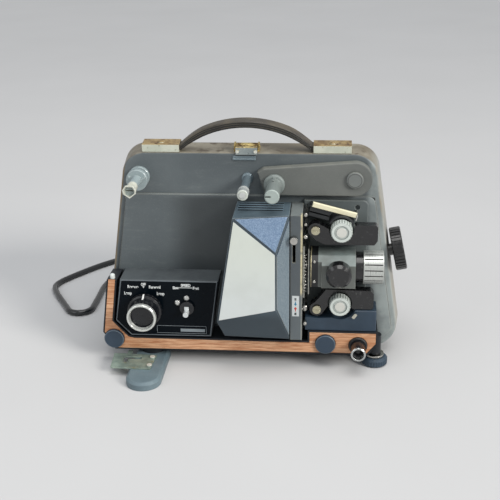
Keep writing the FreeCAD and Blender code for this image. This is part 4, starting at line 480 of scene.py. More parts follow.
def make_guide_paint():
    """Film guide: dark channel, cream bar and chrome clip."""
    s = Surface("film_guide_paint", 0.38)
    lean = math.radians(-14.6)
    away = s.vector("SUBTRACT", s.spots(), (56, 0, 152.9))
    along = s.vector("DOT_PRODUCT", away, (math.cos(lean), 0, math.sin(lean)), output="Value")
    across = s.vector("DOT_PRODUCT", away, (-math.sin(lean), 0, math.cos(lean)), output="Value")
    dark = s.cloud(60, 5, (26, 28, 30), (46, 49, 51))
    cream = s.cloud(70, 5, (222, 214, 180), (240, 234, 206))
    bar = s.both(s.over(across, -2.25, 0.05), s.over(s.ahead(), 17.6, 0.3), s.under(along, 38.75, 0.1))
    clip = s.over(along, 38.8, 0.1)
    tone = s.mix(bar, dark, cream)
    s.colour(s.mix(clip, tone, rgb(206, 206, 200)))
    s.metallic(clip)
    s.uneven(60, 4, 0.28, 0.46)
    s.grain(200, 3, 0.06)
    return s


def make_path_paint():
    """Film path panel: grey paint with pale edges; the guard over the sprocket is black."""
    s = enamel("film_path_paint", rgb(78, 85, 86), rgb(98, 105, 105), rgb(110, 114, 110), rgb(176, 182, 178),
               broken=False)
    s.colour(s.mix(s.over(s.ahead(), 6, 0.3), s.tone, s.cloud(60, 4, (24, 26, 28), (44, 47, 50))))
    return s


def make_holder_paint():
    """Lens holder: grey paint, black at the film end with a pale worn edge."""
    s = enamel("holder_paint", rgb(80, 84, 80), rgb(102, 106, 102), rgb(140, 152, 150), rgb(168, 172, 166),
               0.42, dusting=0.9)
    black = s.cloud(60, 4, (16, 17, 19), (34, 36, 38))
    tone = s.mix(s.under(s.right(), 61.5, 0.1), s.tone, black)
    edge = s.both(s.under(s.right(), 55.8, 0.1), s.between(s.noise(80, 4), 0.35, 0.5, 0.3, 1))
    s.colour(s.mix(edge, tone, rgb(206, 196, 160)))
    return s


def make_sprocket_nylon():
    """Moulded sprocket: ivory, darker in its rings, with painted shade in its flutes and a painted warm
    highlight in the middle.
    """
    s = Surface("sprocket_nylon", 0.34)
    away = s.from_either(SPROCKETS)
    tone = s.cloud(120, 5, (186, 194, 188), (218, 224, 218))
    tone = s.mix(s.both(s.band(away, 5.5, 6.3, 0.15), 0.75), tone, rgb(116, 122, 118))
    tone = s.mix(s.both(s.band(away, 4.4, 4.9, 0.15), 0.5), tone, rgb(130, 134, 130))
    # Painted warm highlight in the middle
    tone = s.mix(s.both(s.under(away, 4.3, 0.3), 0.5), tone, rgb(208, 200, 190))
    # Painted shade in the flutes round the rim
    flutes = s.both(s.band(away, 8.45, 9.1, 0.12), s.over(s.ahead(), 23, 0.5))
    tone = s.mix(s.both(flutes, 0.6), tone, rgb(104, 110, 106))
    tone = s.stain(tone, (120, 118, 108), 500, 2, 0.62, 0.7, 0.3)
    s.fixed("Coat Weight", 0.3)
    s.fixed("Coat Roughness", 0.1)
    s.colour(tone)
    s.grain(260, 3, 0.08)
    return s


def make_dial_finish():
    """Mode dial: black gloss with a chrome ring round its dished front and a white index line."""
    s = Surface("dial_finish", 0.2)
    away = s.from_axis(DIAL)
    tone = s.cloud(50, 5, (14, 15, 18), (28, 30, 34))
    index = s.both(s.band(s.right(), -93.4, -92.0, 0.1), s.band(s.ahead(), 29.2, 37.5, 0.2),
                   s.over(s.above(), 64, 0.3))
    tone = s.mix(index, tone, rgb(232, 232, 228))
    ring = s.both(s.over(away, 10.2, 0.1), s.over(s.ahead(), 44.6, 0.1))
    s.colour(s.mix(ring, tone, s.cloud(90, 3, (196, 198, 194), (232, 234, 228))))
    s.metallic(s.both(ring, 0.6))
    s.uneven(45, 6, 0.14, 0.3, 0.6)
    s.grain(120, 3, 0.05)
    return s


def make_lever_finish():
    """Speed selector: dark hub, chrome arm and pin."""
    s = Surface("speed_finish", 0.2)
    bright = s.over(s.ahead(), 31.2, 0.1)
    dark = s.cloud(60, 4, (16, 17, 20), (34, 36, 40))
    s.colour(s.mix(bright, dark, s.cloud(120, 3, (196, 202, 202), (234, 236, 236))))
    s.metallic(s.both(bright, 0.35))
    s.uneven(90, 4, 0.14, 0.32)
    s.grain(150, 3, 0.05)
    return s


def make_button_finish():
    """Push button: black with a chrome rim round its dish."""
    s = Surface("button_finish", 0.25)
    ring = s.both(s.over(s.ahead(), 42.5, 0.1), s.over(s.from_axis(BUTTON), 4.6, 0.1))
    dark = s.cloud(60, 4, (14, 15, 17), (32, 34, 38))
    s.colour(s.mix(ring, dark, s.cloud(120, 3, (160, 164, 164), (214, 216, 214))))
    s.metallic(ring)
    s.uneven(90, 4, 0.16, 0.34)
    s.grain(150, 3, 0.05)
    return s


def make_fittings_finish():
    """Base fittings: slate caps with a painted highlight round their rims, a white buffer and a black collar.
    """
    s = Surface("fittings_finish", 0.42)
    away = s.from_either(CAPS)
    slate = s.cloud(70, 5, (35, 50, 65), (50, 67, 84))
    # Painted highlight round the rim of each cap
    ring = s.both(s.band(away, 8.3, 8.8, 0.12), s.over(s.ahead(), 28, 0.5), 0.6)
    slate = s.mix(ring, slate, rgb(112, 128, 138))
    white = s.cloud(90, 4, (196, 202, 200), (226, 228, 224))
    tone = s.mix(s.over(s.above(), 78, 0.5), slate, white)
    black = s.cloud(60, 4, (16, 17, 19), (34, 36, 38))
    s.colour(s.mix(s.over(s.right(), 84, 1), tone, black))
    s.uneven(60, 4, 0.34, 0.52)
    s.grain(300, 3, 0.15, 0.0002)
    return s


def make_box_paint():
    """Control box: dark paint, with a painted highlight line round the facia."""
    s = enamel("control_box_paint", rgb(46, 51, 55), rgb(62, 67, 70), rgb(92, 98, 100), rgb(120, 128, 132),
               0.42, worn_share=0.9, broken=False)
    # Painted highlight along the front edge round the facia
    rim = s.both(s.over(s.ahead(), 27.8, 0.05), s.between(s.noise(90, 4), 0.3, 0.5, 0.4, 0.9))
    s.colour(s.mix(rim, s.tone, rgb(104, 112, 118)))
    return s


def make_grip_finish():
    """Lens grip ring: bright ribs with painted shade in the grooves between them."""
    s = Surface("grip_finish", 0.3)
    away = s.vector("SUBTRACT", s.spots(), (0, *LENS))
    away = s.vector("LENGTH", s.vector("MULTIPLY", away, (0, 1, 1)), None, output="Value")
    rib = s.over(away, 14.4, 0.08)
    lines = s.noise(200, 3, 0.6, s.stretched(14, 1, 1))
    bright = s.mix(lines, rgb(166, 170, 168), rgb(218, 220, 214))
    # Painted shade: the grooves between the ribs are near black
    s.colour(s.mix(rib, rgb(34, 33, 31), bright))
    s.metallic(s.both(rib, 0.6))
    s.rough(s.between(lines, 0.3, 0.7, 0.26, 0.42))
    s.bump(lines, 0.1, 0.0001)
    return s


def make_takeup_finish():
    """Take-up spindle: grey drum and an ivory tip with a grey hollow."""
    s = Surface("takeup_finish", 0.36)
    grey = s.cloud(80, 5, (122, 136, 140), (162, 174, 174))
    grey = s.worn(grey, (206, 212, 208), 0.0008, 4, 0.7)
    ivory = s.cloud(90, 5, (184, 186, 172), (216, 216, 204))
    ivory = s.stain(ivory, (170, 166, 140), 240, 3, 0.6, 0.7, 0.5)
    tone = s.mix(s.over(s.ahead(), 29.5, 0.3), grey, ivory)
    hollow = s.band(s.ahead(), 40.5, 43.3, 0.3)
    inside = s.both(hollow, s.under(s.from_axis(TAKEUP), 4.3, 0.3))
    s.colour(s.mix(inside, tone, rgb(146, 156, 152)))
    s.fixed("Coat Weight", 0.3)
    s.fixed("Coat Roughness", 0.12)
    s.grain(200, 3, 0.08)
    return s


def make_spindle_finish():
    """Supply spindle: mid grey with a paler front disc."""
    s = Surface("spindle_finish", 0.42)
    tone = s.cloud(70, 5, (104, 112, 110), (130, 138, 134))
    tone = s.worn(tone, (176, 182, 178), 0.0008, 4, 0.6)
    disc = s.cloud(90, 5, (148, 160, 156), (170, 180, 174))
    s.colour(s.mix(s.over(s.ahead(), 43.3, 0.2), tone, disc))
    s.uneven(60, 4, 0.34, 0.52)
    s.grain(300, 3, 0.12, 0.0002)
    return s


def make_post_finish():
    """Guide post: dark stem, bright ring near the front."""
    s = Surface("post_finish", 0.3, 0.3)
    ring = s.over(s.ahead(), 36.6, 0.2)
    dark = s.cloud(80, 4, (84, 98, 106), (122, 136, 142))
    s.colour(s.mix(ring, dark, s.cloud(120, 3, (170, 174, 172), (220, 222, 218))))
    s.uneven(90, 4, 0.22, 0.4)
    s.grain(150, 3, 0.05)
    return s


def make_roller_finish():
    """Guide roller: grey side and a pale front."""
    s = Surface("roller_finish", 0.4)
    side = s.cloud(90, 4, (120, 126, 126), (166, 170, 168))
    front = s.cloud(160, 4, (176, 182, 174), (206, 210, 202))
    s.colour(s.mix(s.over(s.ahead(), 47.4, 0.15), side, front))
    s.grain(300, 3, 0.15, 0.0002)
    return s


def make_arm_paint(name, dark, light, groove):
    """Reel arm and its pin: grey paint, a dark ring round the pin cap."""
    s = enamel(name, dark, light, rgb(124, 124, 114), rgb(140, 140, 130))
    if groove:
        ring = s.both(s.band(s.from_axis(ARM_PIVOT), 5.5, 6.1, 0.15), s.over(s.ahead(), 11, 0.2))
        s.colour(s.mix(s.both(ring, 0.8), s.tone, rgb(62, 64, 62)))
    return s


def make_bracket_plate():
    """Strap brackets: pale front, and a gold-brown top with stains, its gold a painted reflection of warm
    light.
    """
    s = Surface("bracket_plate", 0.42, 0.25)
    front = s.stain(rgb(196, 200, 184), (212, 214, 198), 70, 5, 0.35, 0.65)
    front = s.stain(front, (132, 126, 98), 240, 3, 0.6, 0.7, 0.5)
    # Painted warm reflection on what faces up, with darker stains
    above = s.stain(rgb(104, 80, 44), (162, 140, 96), 60, 6, 0.38, 0.62, roughness=0.7)
    above = s.stain(above, (80, 54, 28), 150, 5, 0.52, 0.66, roughness=0.7)
    tone = s.mix(s.between(s.facing("Z"), 0.4, 0.8), front, above)
    side = s.between(s.math("ABSOLUTE", s.facing("X")), 0.5, 0.9)
    tone = s.mix(s.both(side, 0.7), tone, rgb(84, 60, 34))
    tone = s.worn(tone, (196, 178, 134), 0.0008, 4, 0.6)
    s.colour(tone)
    s.uneven(50, 5, 0.3, 0.55)
    s.grain(160, 4, 0.15, 0.0002)
    return s


def make_latch_plate():
    """Latch: gold hinge plate on top, its gold a painted reflection of warm light, and a blue-grey catch
    plate on the face.
    """
    s = Surface("latch_plate", 0.32)
    # Painted warm reflection on the hinge plate on top
    gold = s.stain(rgb(122, 92, 46), (206, 184, 122), 90, 6, 0.4, 0.6, roughness=0.7)
    gold = s.stain(gold, (232, 222, 180), 260, 3, 0.58, 0.68, 0.7)
    slate = s.cloud(90, 4, (84, 98, 106), (112, 126, 132))
    slate = s.worn(slate, (176, 190, 194), 0.0005, 4, 0.8)
    top = s.over(s.above(), 190.5, 0.3)
    s.colour(s.mix(top, slate, gold))
    s.metallic(s.both(top, 0.8))
    s.uneven(50, 5, 0.24, 0.5)
    s.grain(160, 4, 0.15, 0.0002)
    return s


def make_latch_hook():
    """Latch hook: plated front with two pale studs, its upper side gold as a painted reflection of warm
    light.
    """
    s = Surface("latch_hook", 0.24)
    front = s.cloud(40, 4, (116, 128, 132), (184, 190, 186))
    away = s.from_either(LATCH_STUDS)
    front = s.mix(s.under(away, 1.5, 0.2), front, rgb(238, 236, 222))
    # Painted warm reflection on the upper side
    gold = s.stain(rgb(84, 60, 30), (212, 192, 132), 110, 6, 0.42, 0.58, roughness=0.7)
    top = s.either(s.over(s.above(), 197.2, 0.2), s.between(s.facing("Z"), 0.4, 0.7))
    s.colour(s.mix(top, front, gold))
    s.metallic(0.55)
    s.uneven(60, 4, 0.2, 0.4)
    s.grain(160, 4, 0.1, 0.0001)
    return s


def make_foot_plate():
    """Latch plate of the swing foot: dull greenish grey plating with pale studs."""
    s = Surface("foot_plate", 0.4, 0.35)
    tone = s.stain(rgb(118, 134, 126), (154, 170, 157), 60, 6, 0.36, 0.64, roughness=0.65)
    tone = s.stain(tone, (128, 122, 84), 110, 5, 0.56, 0.68, 0.7, roughness=0.7)
    studs = s.over(s.above(), 9.25, 0.1)
    tone = s.mix(studs, tone, rgb(216, 216, 206))
    tone = s.worn(tone, (190, 194, 176), 0.0005, 4, 0.6)
    s.colour(tone)
    s.uneven(50, 5, 0.3, 0.55)
    s.grain(160, 4, 0.2, 0.0002)
    return s


def make_screw_finish():
    """Screws: chrome left of the case's middle, on the facia, and pale brass on the levers."""
    s = Surface("screw_finish", 0.28, 0.85)
    brass = s.cloud(120, 4, (164, 156, 126), (212, 208, 184))
    bright = s.cloud(120, 4, (176, 178, 176), (226, 226, 222))
    tone = s.mix(s.over(s.right(), 0, 1), bright, brass)
    s.colour(s.worn(tone, (236, 232, 214), 0.0004, 4, 0.5))
    s.uneven(90, 4, 0.2, 0.4)
    s.grain(240, 3, 0.08, 0.0001)
    return s


def make_glass(name, tint):
    """Clear glass with an uneven tint."""
    s = Surface(name, 0.03)
    s.fixed("Transmission Weight", 0.85)
    s.fixed("IOR", 1.5)
    s.colour(s.mix(s.noise(60, 2), tint, rgb(225, 230, 240)))
    return s


def make_leather():
    """Strap: dark sides with worn edges, its upper side grey-brown."""
    s = Surface("strap_leather", 0.5)
    dark = s.cloud(80, 6, (16, 17, 19), (32, 32, 33))
    worn_top = s.stain(rgb(50, 44, 36), (86, 79, 66), 60, 6, 0.35, 0.65, roughness=0.65)
    upper = s.between(s.facing("Z"), 0.2, 0.7)
    tone = s.mix(upper, dark, worn_top)
    worn = s.both(s.edges(0.0009, 4), s.between(s.noise(90, 4), 0.3, 0.55, 0.35, 1))
    tone = s.mix(s.both(worn, 0.5), tone, rgb(112, 106, 90))
    s.colour(tone)
    s.uneven(60, 3, 0.36, 0.6)
    s.grain(300, 4, 0.35, 0.0003)
    return s


def make_finishes():
    grey = rgb(150, 152, 146)
    made = {
        "case": make_case_paint(), "bead": make_bead_paint(),
        "cover": enamel("cover_paint", rgb(56, 62, 65), rgb(78, 84, 86), rgb(140, 130, 110), grey),
        "lamp_house": make_lamp_house_paint(),
        "gate": make_gate_paint(),
        "arm": make_arm_paint("arm_paint", rgb(94, 97, 94), rgb(114, 116, 112), False),
        "cap": make_arm_paint("arm_cap_paint", rgb(104, 108, 106), rgb(126, 129, 126), True),
        "path": make_path_paint(),
        "housing": make_housing_plastic(),
        "box": make_box_paint(),
        "facia": plastic("facia_gloss", rgb(2, 8, 13), rgb(6, 14, 22), 0.22, 0, 40, 0, 0.1),
        "moulding": plastic("moulding_plastic", rgb(20, 23, 27), rgb(34, 38, 43), 0.42, 0, 40, 0, 0.35),
        "wood": make_wood(), "sheets": make_plate_paint(),
        "black": plastic("black_gloss", rgb(10, 10, 12), rgb(24, 24, 26), 0.2, 0.4, 50, 0.12),
        "holder": make_holder_paint(), "guide": make_guide_paint(), "sprocket": make_sprocket_nylon(),
        "takeup": make_takeup_finish(), "spindle": make_spindle_finish(), "post": make_post_finish(),
        "roller": make_roller_finish(), "dial": make_dial_finish(), "speed": make_lever_finish(),
        "button": make_button_finish(), "fittings": make_fittings_finish(), "grip": make_grip_finish(),
        "grey_plastic": plastic("grey_plastic", rgb(92, 100, 102), rgb(128, 134, 134), 0.42, 0, 60),
        "chrome": metal("chrome_plate", rgb(150, 148, 142), rgb(214, 212, 206), 0.16),
        "steel": metal("plated_steel", rgb(128, 130, 126), rgb(186, 186, 178), 0.28, rgb(96, 90, 76)),
        "dark_steel": metal("dark_steel", rgb(60, 66, 70), rgb(100, 106, 108), 0.4),
        "latch": make_latch_hook(),
        "bracket": make_bracket_plate(), "latch_plate": make_latch_plate(), "foot_plate": make_foot_plate(),
        "screw": make_screw_finish(),
        "rubber": plastic("black_rubber", rgb(34, 38, 42), rgb(56, 61, 66), 0.6, 0, 70, 0.15),
        "pad": plastic("pad_rubber", rgb(30, 46, 59), rgb(52, 69, 84), 0.6, 0, 70, 0.15),
        "foot": enamel("foot_paint", rgb(84, 101, 109), rgb(116, 133, 139), rgb(120, 136, 141),
                       rgb(150, 160, 162), 0.45, 500, 0.5),
        "leather": make_leather(),
        "glass": make_glass("coated_glass", rgb(150, 160, 200)),
        "lamp": make_glass("lamp_glass", rgb(235, 232, 215)),
        "flex": plastic("cord_flex", rgb(12, 14, 17), rgb(28, 32, 36), 0.24, 0.35, 60, 0.04),
        "white": plastic("print_white", rgb(206, 210, 210), rgb(228, 230, 228), 0.5),
        "blue": plastic("mark_blue", rgb(30, 96, 134), rgb(60, 134, 166), 0.5),
        "red": plastic("mark_red", rgb(170, 44, 38), rgb(204, 74, 60), 0.5),
        "label": plastic("label_paper", rgb(178, 184, 186), rgb(206, 210, 208), 0.55),
        "blank": plastic("label_line", rgb(120, 130, 136), rgb(150, 158, 162), 0.5),
    }
    return {name: surface.material for name, surface in made.items()}


FINISH = make_finishes()

# Which finish each piece of the construction takes
WEARS = {
    "case_frame": "case", "rear_cover": "cover", "chassis_plate": "steel", "control_box": "box",
    "control_panel": "facia", "base_moulding": "moulding", "wood_trim": "wood", "base_fittings": "fittings",
    "lamp_house": "lamp_house", "lamp_house_plates": "sheets", "lamp": "lamp", "gate_cover": "gate",
    "film_gate": "steel", "claw_arm": "steel", "film_path_panel": "path", "lower_housing": "housing",
    "film_guide": "guide", "upper_sprocket": "sprocket", "lower_sprocket": "sprocket",
    "upper_guide_lever": "black", "lower_guide_lever": "black", "screws": "screw",
    "lens_holder": "holder", "focus_knob": "black", "lens_barrel": "black", "lens_grip_ring": "grip",
    "lens_glass": "glass", "framing_knob": "chrome", "format_lever": "chrome", "reel_arm": "arm",
    "arm_pivot_pin": "cap", "arm_spindle": "spindle", "takeup_spindle": "takeup",
    "guide_post": "post", "guide_roller": "roller", "handle_strap": "leather",
    "handle_brackets": "bracket", "latch_plates": "latch_plate", "latch_hook": "latch", "main_shaft": "steel",
    "shutter_disc": "dark_steel", "motor": "steel", "motor_fan": "grey_plastic", "drive_belt": "rubber",
    "inching_knob": "black", "mode_dial": "dial", "speed_lever": "speed", "rewind_button": "button",
    "swing_foot": "foot", "foot_latch_plate": "foot_plate", "foot_pad": "pad", "elevation_screw": "chrome",
    "rear_feet": "rubber", "cord_gland": "rubber", "power_cord": "flex", "cord_coil": "flex", "plug": "flex"}

for name, o in NODES.items():
    o.data.materials.clear()
    o.data.materials.append(FINISH[WEARS[name]])


# Mains cord: one curve from the gland, round its fold on the table and into the coil. Each place is in
# millimetres right, behind the case face and above the table
ROUTE = [
    (-85, 118, 25), (-85, 133, 25), (-90, 150, 12.5), (-107, 163, 3), (-135, 170, 3), (-160, 161, 3),
    (-172.5, 138, 3), (-171.4, 100, 3), (-171.4, 80.9, 3), (-171.4, 72.2, 3), (-176.7, 65.3, 3),
    (-185.2, 63.2, 3), (-193.1, 66.7, 3), (-197.2, 74.4, 3), (-223.5, 117, 3), (-227, 134, 3), (-211, 160, 3),
    (-182, 198, 3), (-146, 223, 3), (-83, 233.35, 3)]

# Its coil: height of the lowest turn, middle, outer radius, step between turns, turns in each of two layers,
# share of a turn for the climb, points in a turn, and how far ahead of the middle the last points lie
LYING = 3
COIL = (-20, 190)
COIL_OUTER = 43.35
COIL_STEP = 6.9
TURNS = 3
CLIMB = 0.25
STEPS = 16
TAILS = (9, 26)


def coil_place(turn):
    """Point of the coil: inwards on the table, then outwards on top; drawn out a little for the curve."""
    if turn <= TURNS:
        radius = COIL_OUTER - COIL_STEP * turn
        height = LYING
    elif turn <= TURNS + CLIMB:
        radius = COIL_OUTER - COIL_STEP * TURNS
        height = LYING + COIL_STEP * (1 - math.cos(math.pi * (turn - TURNS) / CLIMB)) / 2
    else:
        radius = COIL_OUTER - COIL_STEP * (2 * TURNS + CLIMB - turn)
        height = LYING + COIL_STEP
    radius /= (3 + math.cos(2 * math.pi / STEPS)) / 4
    angle = math.pi / 2 - 2 * math.pi * turn
    return COIL[0] + radius * math.cos(angle), COIL[1] + radius * math.sin(angle), height


def make_cord():
    points = [spot(x, h, -behind) for x, behind, h in ROUTE]
    for k in range(round((2 * TURNS + CLIMB) * STEPS)):
        x, behind, h = coil_place((k + 0.5) / STEPS)
        points.append(spot(x, h, -behind))
    for tail in TAILS:
        points.append(spot(COIL[0] + COIL_OUTER, LYING + COIL_STEP, tail - COIL[1]))
    curve = bpy.data.curves.new("mains_cord", "CURVE")
    curve.dimensions = "3D"
    curve.bevel_depth = 0.003
    curve.bevel_resolution = 6
    curve.resolution_u = 8
    curve.use_fill_caps = True
    line = curve.splines.new("NURBS")
    line.points.add(len(points) - 1)
    for point, place in zip(line.points, points):
        point.co = (*place, 1)
    line.order_u = 3
    line.use_endpoint_u = True
    cord = bpy.data.objects.new("mains_cord", curve)
    bpy.context.collection.objects.link(cord)
    cord.data.materials.append(FINISH["flex"])
    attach(cord, "projector")
    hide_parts("power_cord", "cord_coil")


make_cord()


# New pieces: points nearer than WELD are merged, and a face that turns less than SMOOTH is shaded smooth
WELD = 0.000005
SMOOTH = math.radians(35)


def settle(o, name, finish, body):
    """Applies the place of a new piece to its mesh, closes it up and gives it its finish."""
    clear_choice()
    bpy.context.view_layer.objects.active = o
    o.select_set(True)
    bpy.ops.object.transform_apply(location=True, rotation=True, scale=True)
    bpy.ops.object.mode_set(mode="EDIT")
    bpy.ops.mesh.select_all(action="SELECT")
    bpy.ops.mesh.remove_doubles(threshold=WELD)
    bpy.ops.mesh.normals_make_consistent(inside=False)
    bpy.ops.object.mode_set(mode="OBJECT")
    bpy.ops.object.shade_smooth_by_angle(angle=SMOOTH)
    o.name = name
    o.data.name = name
    o.data.materials.clear()
    o.data.materials.append(FINISH[finish])
    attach(o, body)
    clear_choice()
    return o


def on_front(o, x, height, ahead):
    """Stands a piece made flat on the ground up, so that it faces ahead at a spot."""
    o.rotation_euler = (math.pi / 2, 0, 0)
    o.location = spot(x, height, ahead)


def swept(points, profile):
    """A flat line of points with a closed shape swept along it, as a mesh."""
    clear_choice()
    shape = bpy.data.curves.new("profile", "CURVE")
    shape.dimensions = "2D"
    shape.fill_mode = "NONE"
    line = shape.splines.new("POLY")
    line.points.add(len(profile) - 1)
    for point, (x, y) in zip(line.points, profile):
        point.co = (x * MM, y * MM, 0, 1)
    line.use_cyclic_u = True
    edge = bpy.data.objects.new("profile", shape)
    bpy.context.collection.objects.link(edge)
    curve = bpy.data.curves.new("swept", "CURVE")
    curve.dimensions = "2D"
    curve.fill_mode = "NONE"
    curve.bevel_mode = "OBJECT"
    curve.bevel_object = edge
    curve.use_fill_caps = True
    line = curve.splines.new("POLY")
    line.points.add(len(points) - 1)
    for point, (x, y) in zip(line.points, points):
        point.co = (x * MM, y * MM, 0, 1)
    o = bpy.data.objects.new("swept", curve)
    bpy.context.collection.objects.link(o)
    bpy.context.view_layer.objects.active = o
    o.select_set(True)
    bpy.ops.object.convert(target="MESH")
    bpy.data.objects.remove(edge)
    return bpy.context.object


def half_width(height):
    return FIELD_HALF - FIELD_LEAN * height


def rounded(corners, radius, steps):
    """A line through corners, each rounded."""
    out = [corners[0]]
    for before, corner, after in zip(corners, corners[1:], corners[2:]):
        corner = Vector(corner)
        start = corner + (Vector(before) - corner).normalized() * radius
        end = corner + (Vector(after) - corner).normalized() * radius
        for k in range(steps + 1):
            t = k / steps
            out.append(tuple(start * (1 - t) ** 2 + corner * 2 * t * (1 - t) + end * t ** 2))
    return out + [corners[-1]]


def make_case_bead():
    """Sloped border along the sides and the top of the raised field."""
    inset, foot = 4.94, 30
    side, top_side = half_width(foot) - inset, half_width(LEDGE) - inset
    corners = [(-side, foot), (-top_side, LEDGE), (top_side, LEDGE), (side, foot)]
    o = swept(rounded(corners, 2.4, 4), [(0, 0), (0, 1.75), (0.5, 1.75), (3.3, 0.55), (3.9, 0.5), (3.9, 0)])
    on_front(o, 0, 0, 0.03)
    settle(o, "case_bead", "bead", "projector")


def make_strap():
    """Carrying strap: an arch of stitched layers whose ends lie in the brackets."""
    middle, radius, reach, steps = -65.27, 89.27, 56.8, 20
    end, bend, level = 86.5, 64, 3.7
    swing = math.asin(reach / radius)
    points = [(-end, level), (-bend, level)]
    for k in range(2 * steps + 1):
        angle = swing * (k - steps) / steps
        points.append((radius * math.sin(angle), middle + radius * math.cos(angle)))
    points += [(bend, level), (end, level)]
    thick, half, corner = 3.05, 5.5, 0.9
    # Half of the outline, with a groove between the layers and one beside the stitching
    cut = -half + 0.5
    profile = [(-thick, -half + corner), (-thick + corner, -half), (-1.25, -half), (-0.95, cut),
               (-0.65, -half), (0.65, -half), (0.95, cut), (1.25, -half), (thick - corner, -half),
               (thick, -half + corner)]
    groove = [(thick, -3.9), (thick - 0.4, -3.6), (thick, -3.3)]
    mirrored = [(x, -y) for x, y in reversed(groove)]
    lower = [(-x, y) for x, y in reversed(groove + mirrored)]
    profile = profile + groove + mirrored + [(x, -y) for x, y in reversed(profile)] + lower
    o = swept(points, profile)
    # Thinner towards the brackets, and a little higher in the middle
    thin_from, thin_over, loss, flat_from, rise = 38, 20, 0.33, 58.5, 0.95
    for v in o.data.vertices:
        x, y = v.co.x / MM, v.co.y / MM
        share = min(max((abs(x) - thin_from) / thin_over, 0), 1)
        thin = 1 - loss * share * share * (3 - 2 * share)
        if abs(x) > flat_from:
            y = level + (y - level) * thin
        else:
            out = Vector((x, y - middle))
            place = out.normalized() * (radius + rise * (1 - share) + (out.length - radius) * thin)
            x, y = place.x, place.y + middle
        v.co = (x * MM, y * MM, v.co.z)
    # The case top rises towards the back; the strap stands square to it
    along, up = 0.9945, 0.1045
    across, top, behind = -2.2, 192, 7.4
    o.rotation_euler = (math.pi / 2 + math.atan2(up, along), 0, 0)
    o.location = spot(across, top + behind * up, -behind * along)
    settle(o, "carrying_strap", "leather", "projector")
    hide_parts("handle_strap")


# Lettering before it is fitted to its width and height: size, half thickness and added weight
LETTER_SIZE = 0.003
LETTER_THICK = 0.00004
LETTER_WEIGHT = 0.00016


def printed(words, x, height, width, tall, ahead):
    """A printed word of a width and height, its middle at a spot."""
    clear_choice()
    bpy.ops.object.text_add(location=(0, 0, 0))
    o = bpy.context.object
    o.data.body = words
    o.data.size = LETTER_SIZE
    o.data.extrude = LETTER_THICK
    o.data.offset = LETTER_WEIGHT
    bpy.ops.object.convert(target="MESH")
    o = bpy.context.object
    low = Vector([min(v.co[k] for v in o.data.vertices) for k in range(3)])
    high = Vector([max(v.co[k] for v in o.data.vertices) for k in range(3)])
    middle = (low + high) / 2
    for v in o.data.vertices:
        v.co = ((v.co.x - middle.x) * width * MM / (high.x - low.x),
                (v.co.y - middle.y) * tall * MM / (high.y - low.y), v.co.z)
    on_front(o, x, height, ahead)
    return o


def flat_shape(points, ahead):
    """A thin printed shape with straight sides, given as places right and above."""
    clear_choice()
    bpy.ops.mesh.primitive_circle_add(vertices=len(points), radius=1, fill_type="NGON")
    o = bpy.context.object
    for v, (x, y) in zip(o.data.vertices, points):
        v.co = (x * MM, y * MM, 0)
    bpy.ops.object.mode_set(mode="EDIT")
    bpy.ops.mesh.select_all(action="SELECT")
    bpy.ops.mesh.extrude_region_move(TRANSFORM_OT_translate={"value": (0, 0, PRINT_THICK * MM)})
    bpy.ops.object.mode_set(mode="OBJECT")
    on_front(o, 0, 0, ahead)
    return o


def bar_shape(left, low, right, high, ahead):
    return flat_shape([(left, low), (right, low), (right, high), (left, high)], ahead)


def joined(objects):
    clear_choice()
    for o in objects:
        o.select_set(True)
    bpy.context.view_layer.objects.active = objects[0]
    bpy.ops.object.transform_apply(location=True, rotation=True, scale=True)
    bpy.ops.object.join()
    return bpy.context.object


def make_lettering():
    """The control names on the facia, with their lines."""
    words = [("Reverse", -102.6, 75.9, 9.8, 2.9), ("OFF", -93.1, 78.3, 4.4, 3.0),
             ("Forward", -83.0, 75.9, 10.4, 2.9), ("Lamp", -107.5, 69.1, 6.8, 3.9),
             ("Lamp", -78.0, 69.2, 6.8, 3.9), ("SPEED", -55.1, 78.2, 8.6, 2.8),
             ("Slow", -64.1, 75.7, 5.7, 2.9), ("Fast", -46.1, 75.7, 5.5, 2.9)]
    prints = [printed(text, x, h, wide, tall, FACIA_FACE) for text, x, h, wide, tall in words]
    prints.append(bar_shape(-61.0, 75.6, -49.2, 76.2, FACIA_FACE))
    prints.append(flat_shape([(-94.1, 76.6), (-93.1, 74.6), (-92.1, 76.6)], FACIA_FACE))
    settle(joined(prints), "facia_lettering", "white", "projector")


def make_blank_label():
    """Thin frame with a pale strip in it, at the foot of the facia."""
    face = FACIA_FACE
    left, low, right, high, line = -83.0, 30.6, -38.0, 38.2, 0.35
    parts = [bar_shape(left, low, right, low + line, face), bar_shape(left, high - line, right, high, face),
             bar_shape(left, low, left + line, high, face), bar_shape(right - line, low, right, high, face),
             bar_shape(-61.5, 32.4, -39.4, 35.4, face)]
    settle(joined(parts), "facia_label", "blank", "projector")


def make_format_label():
    """Film format label beside the lever: pale, with a blue and a red mark."""
    paper = bar_shape(39.4, 55.2, 45.6, 74.9, GATE_FACE)
    settle(paper, "format_label", "label", "projector")
    middle, face = 42.4, GATE_FACE + PRINT_STEP
    blue = [flat_shape([(middle - 1.2, 66.9), (middle, 68.4), (middle + 1.2, 66.9), (middle, 65.4)], face),
            bar_shape(middle - 0.35, 68, middle + 0.35, 69.6, face)]
    settle(joined(blue), "format_mark_upper", "blue", "projector")
    red = [flat_shape([(middle - 1.3, 62.7), (middle, 64.3), (middle + 1.3, 62.7), (middle, 61.1)], face),
           bar_shape(middle - 0.35, 59.8, middle + 0.35, 61.5, face)]
    settle(joined(red), "format_mark_lower", "red", "projector")
    words = [printed("S", middle, 71.6, 1.8, 2.4, face), printed("8", middle, 57.6, 1.9, 2.4, face)]
    settle(joined(words), "format_letters", "facia", "projector")


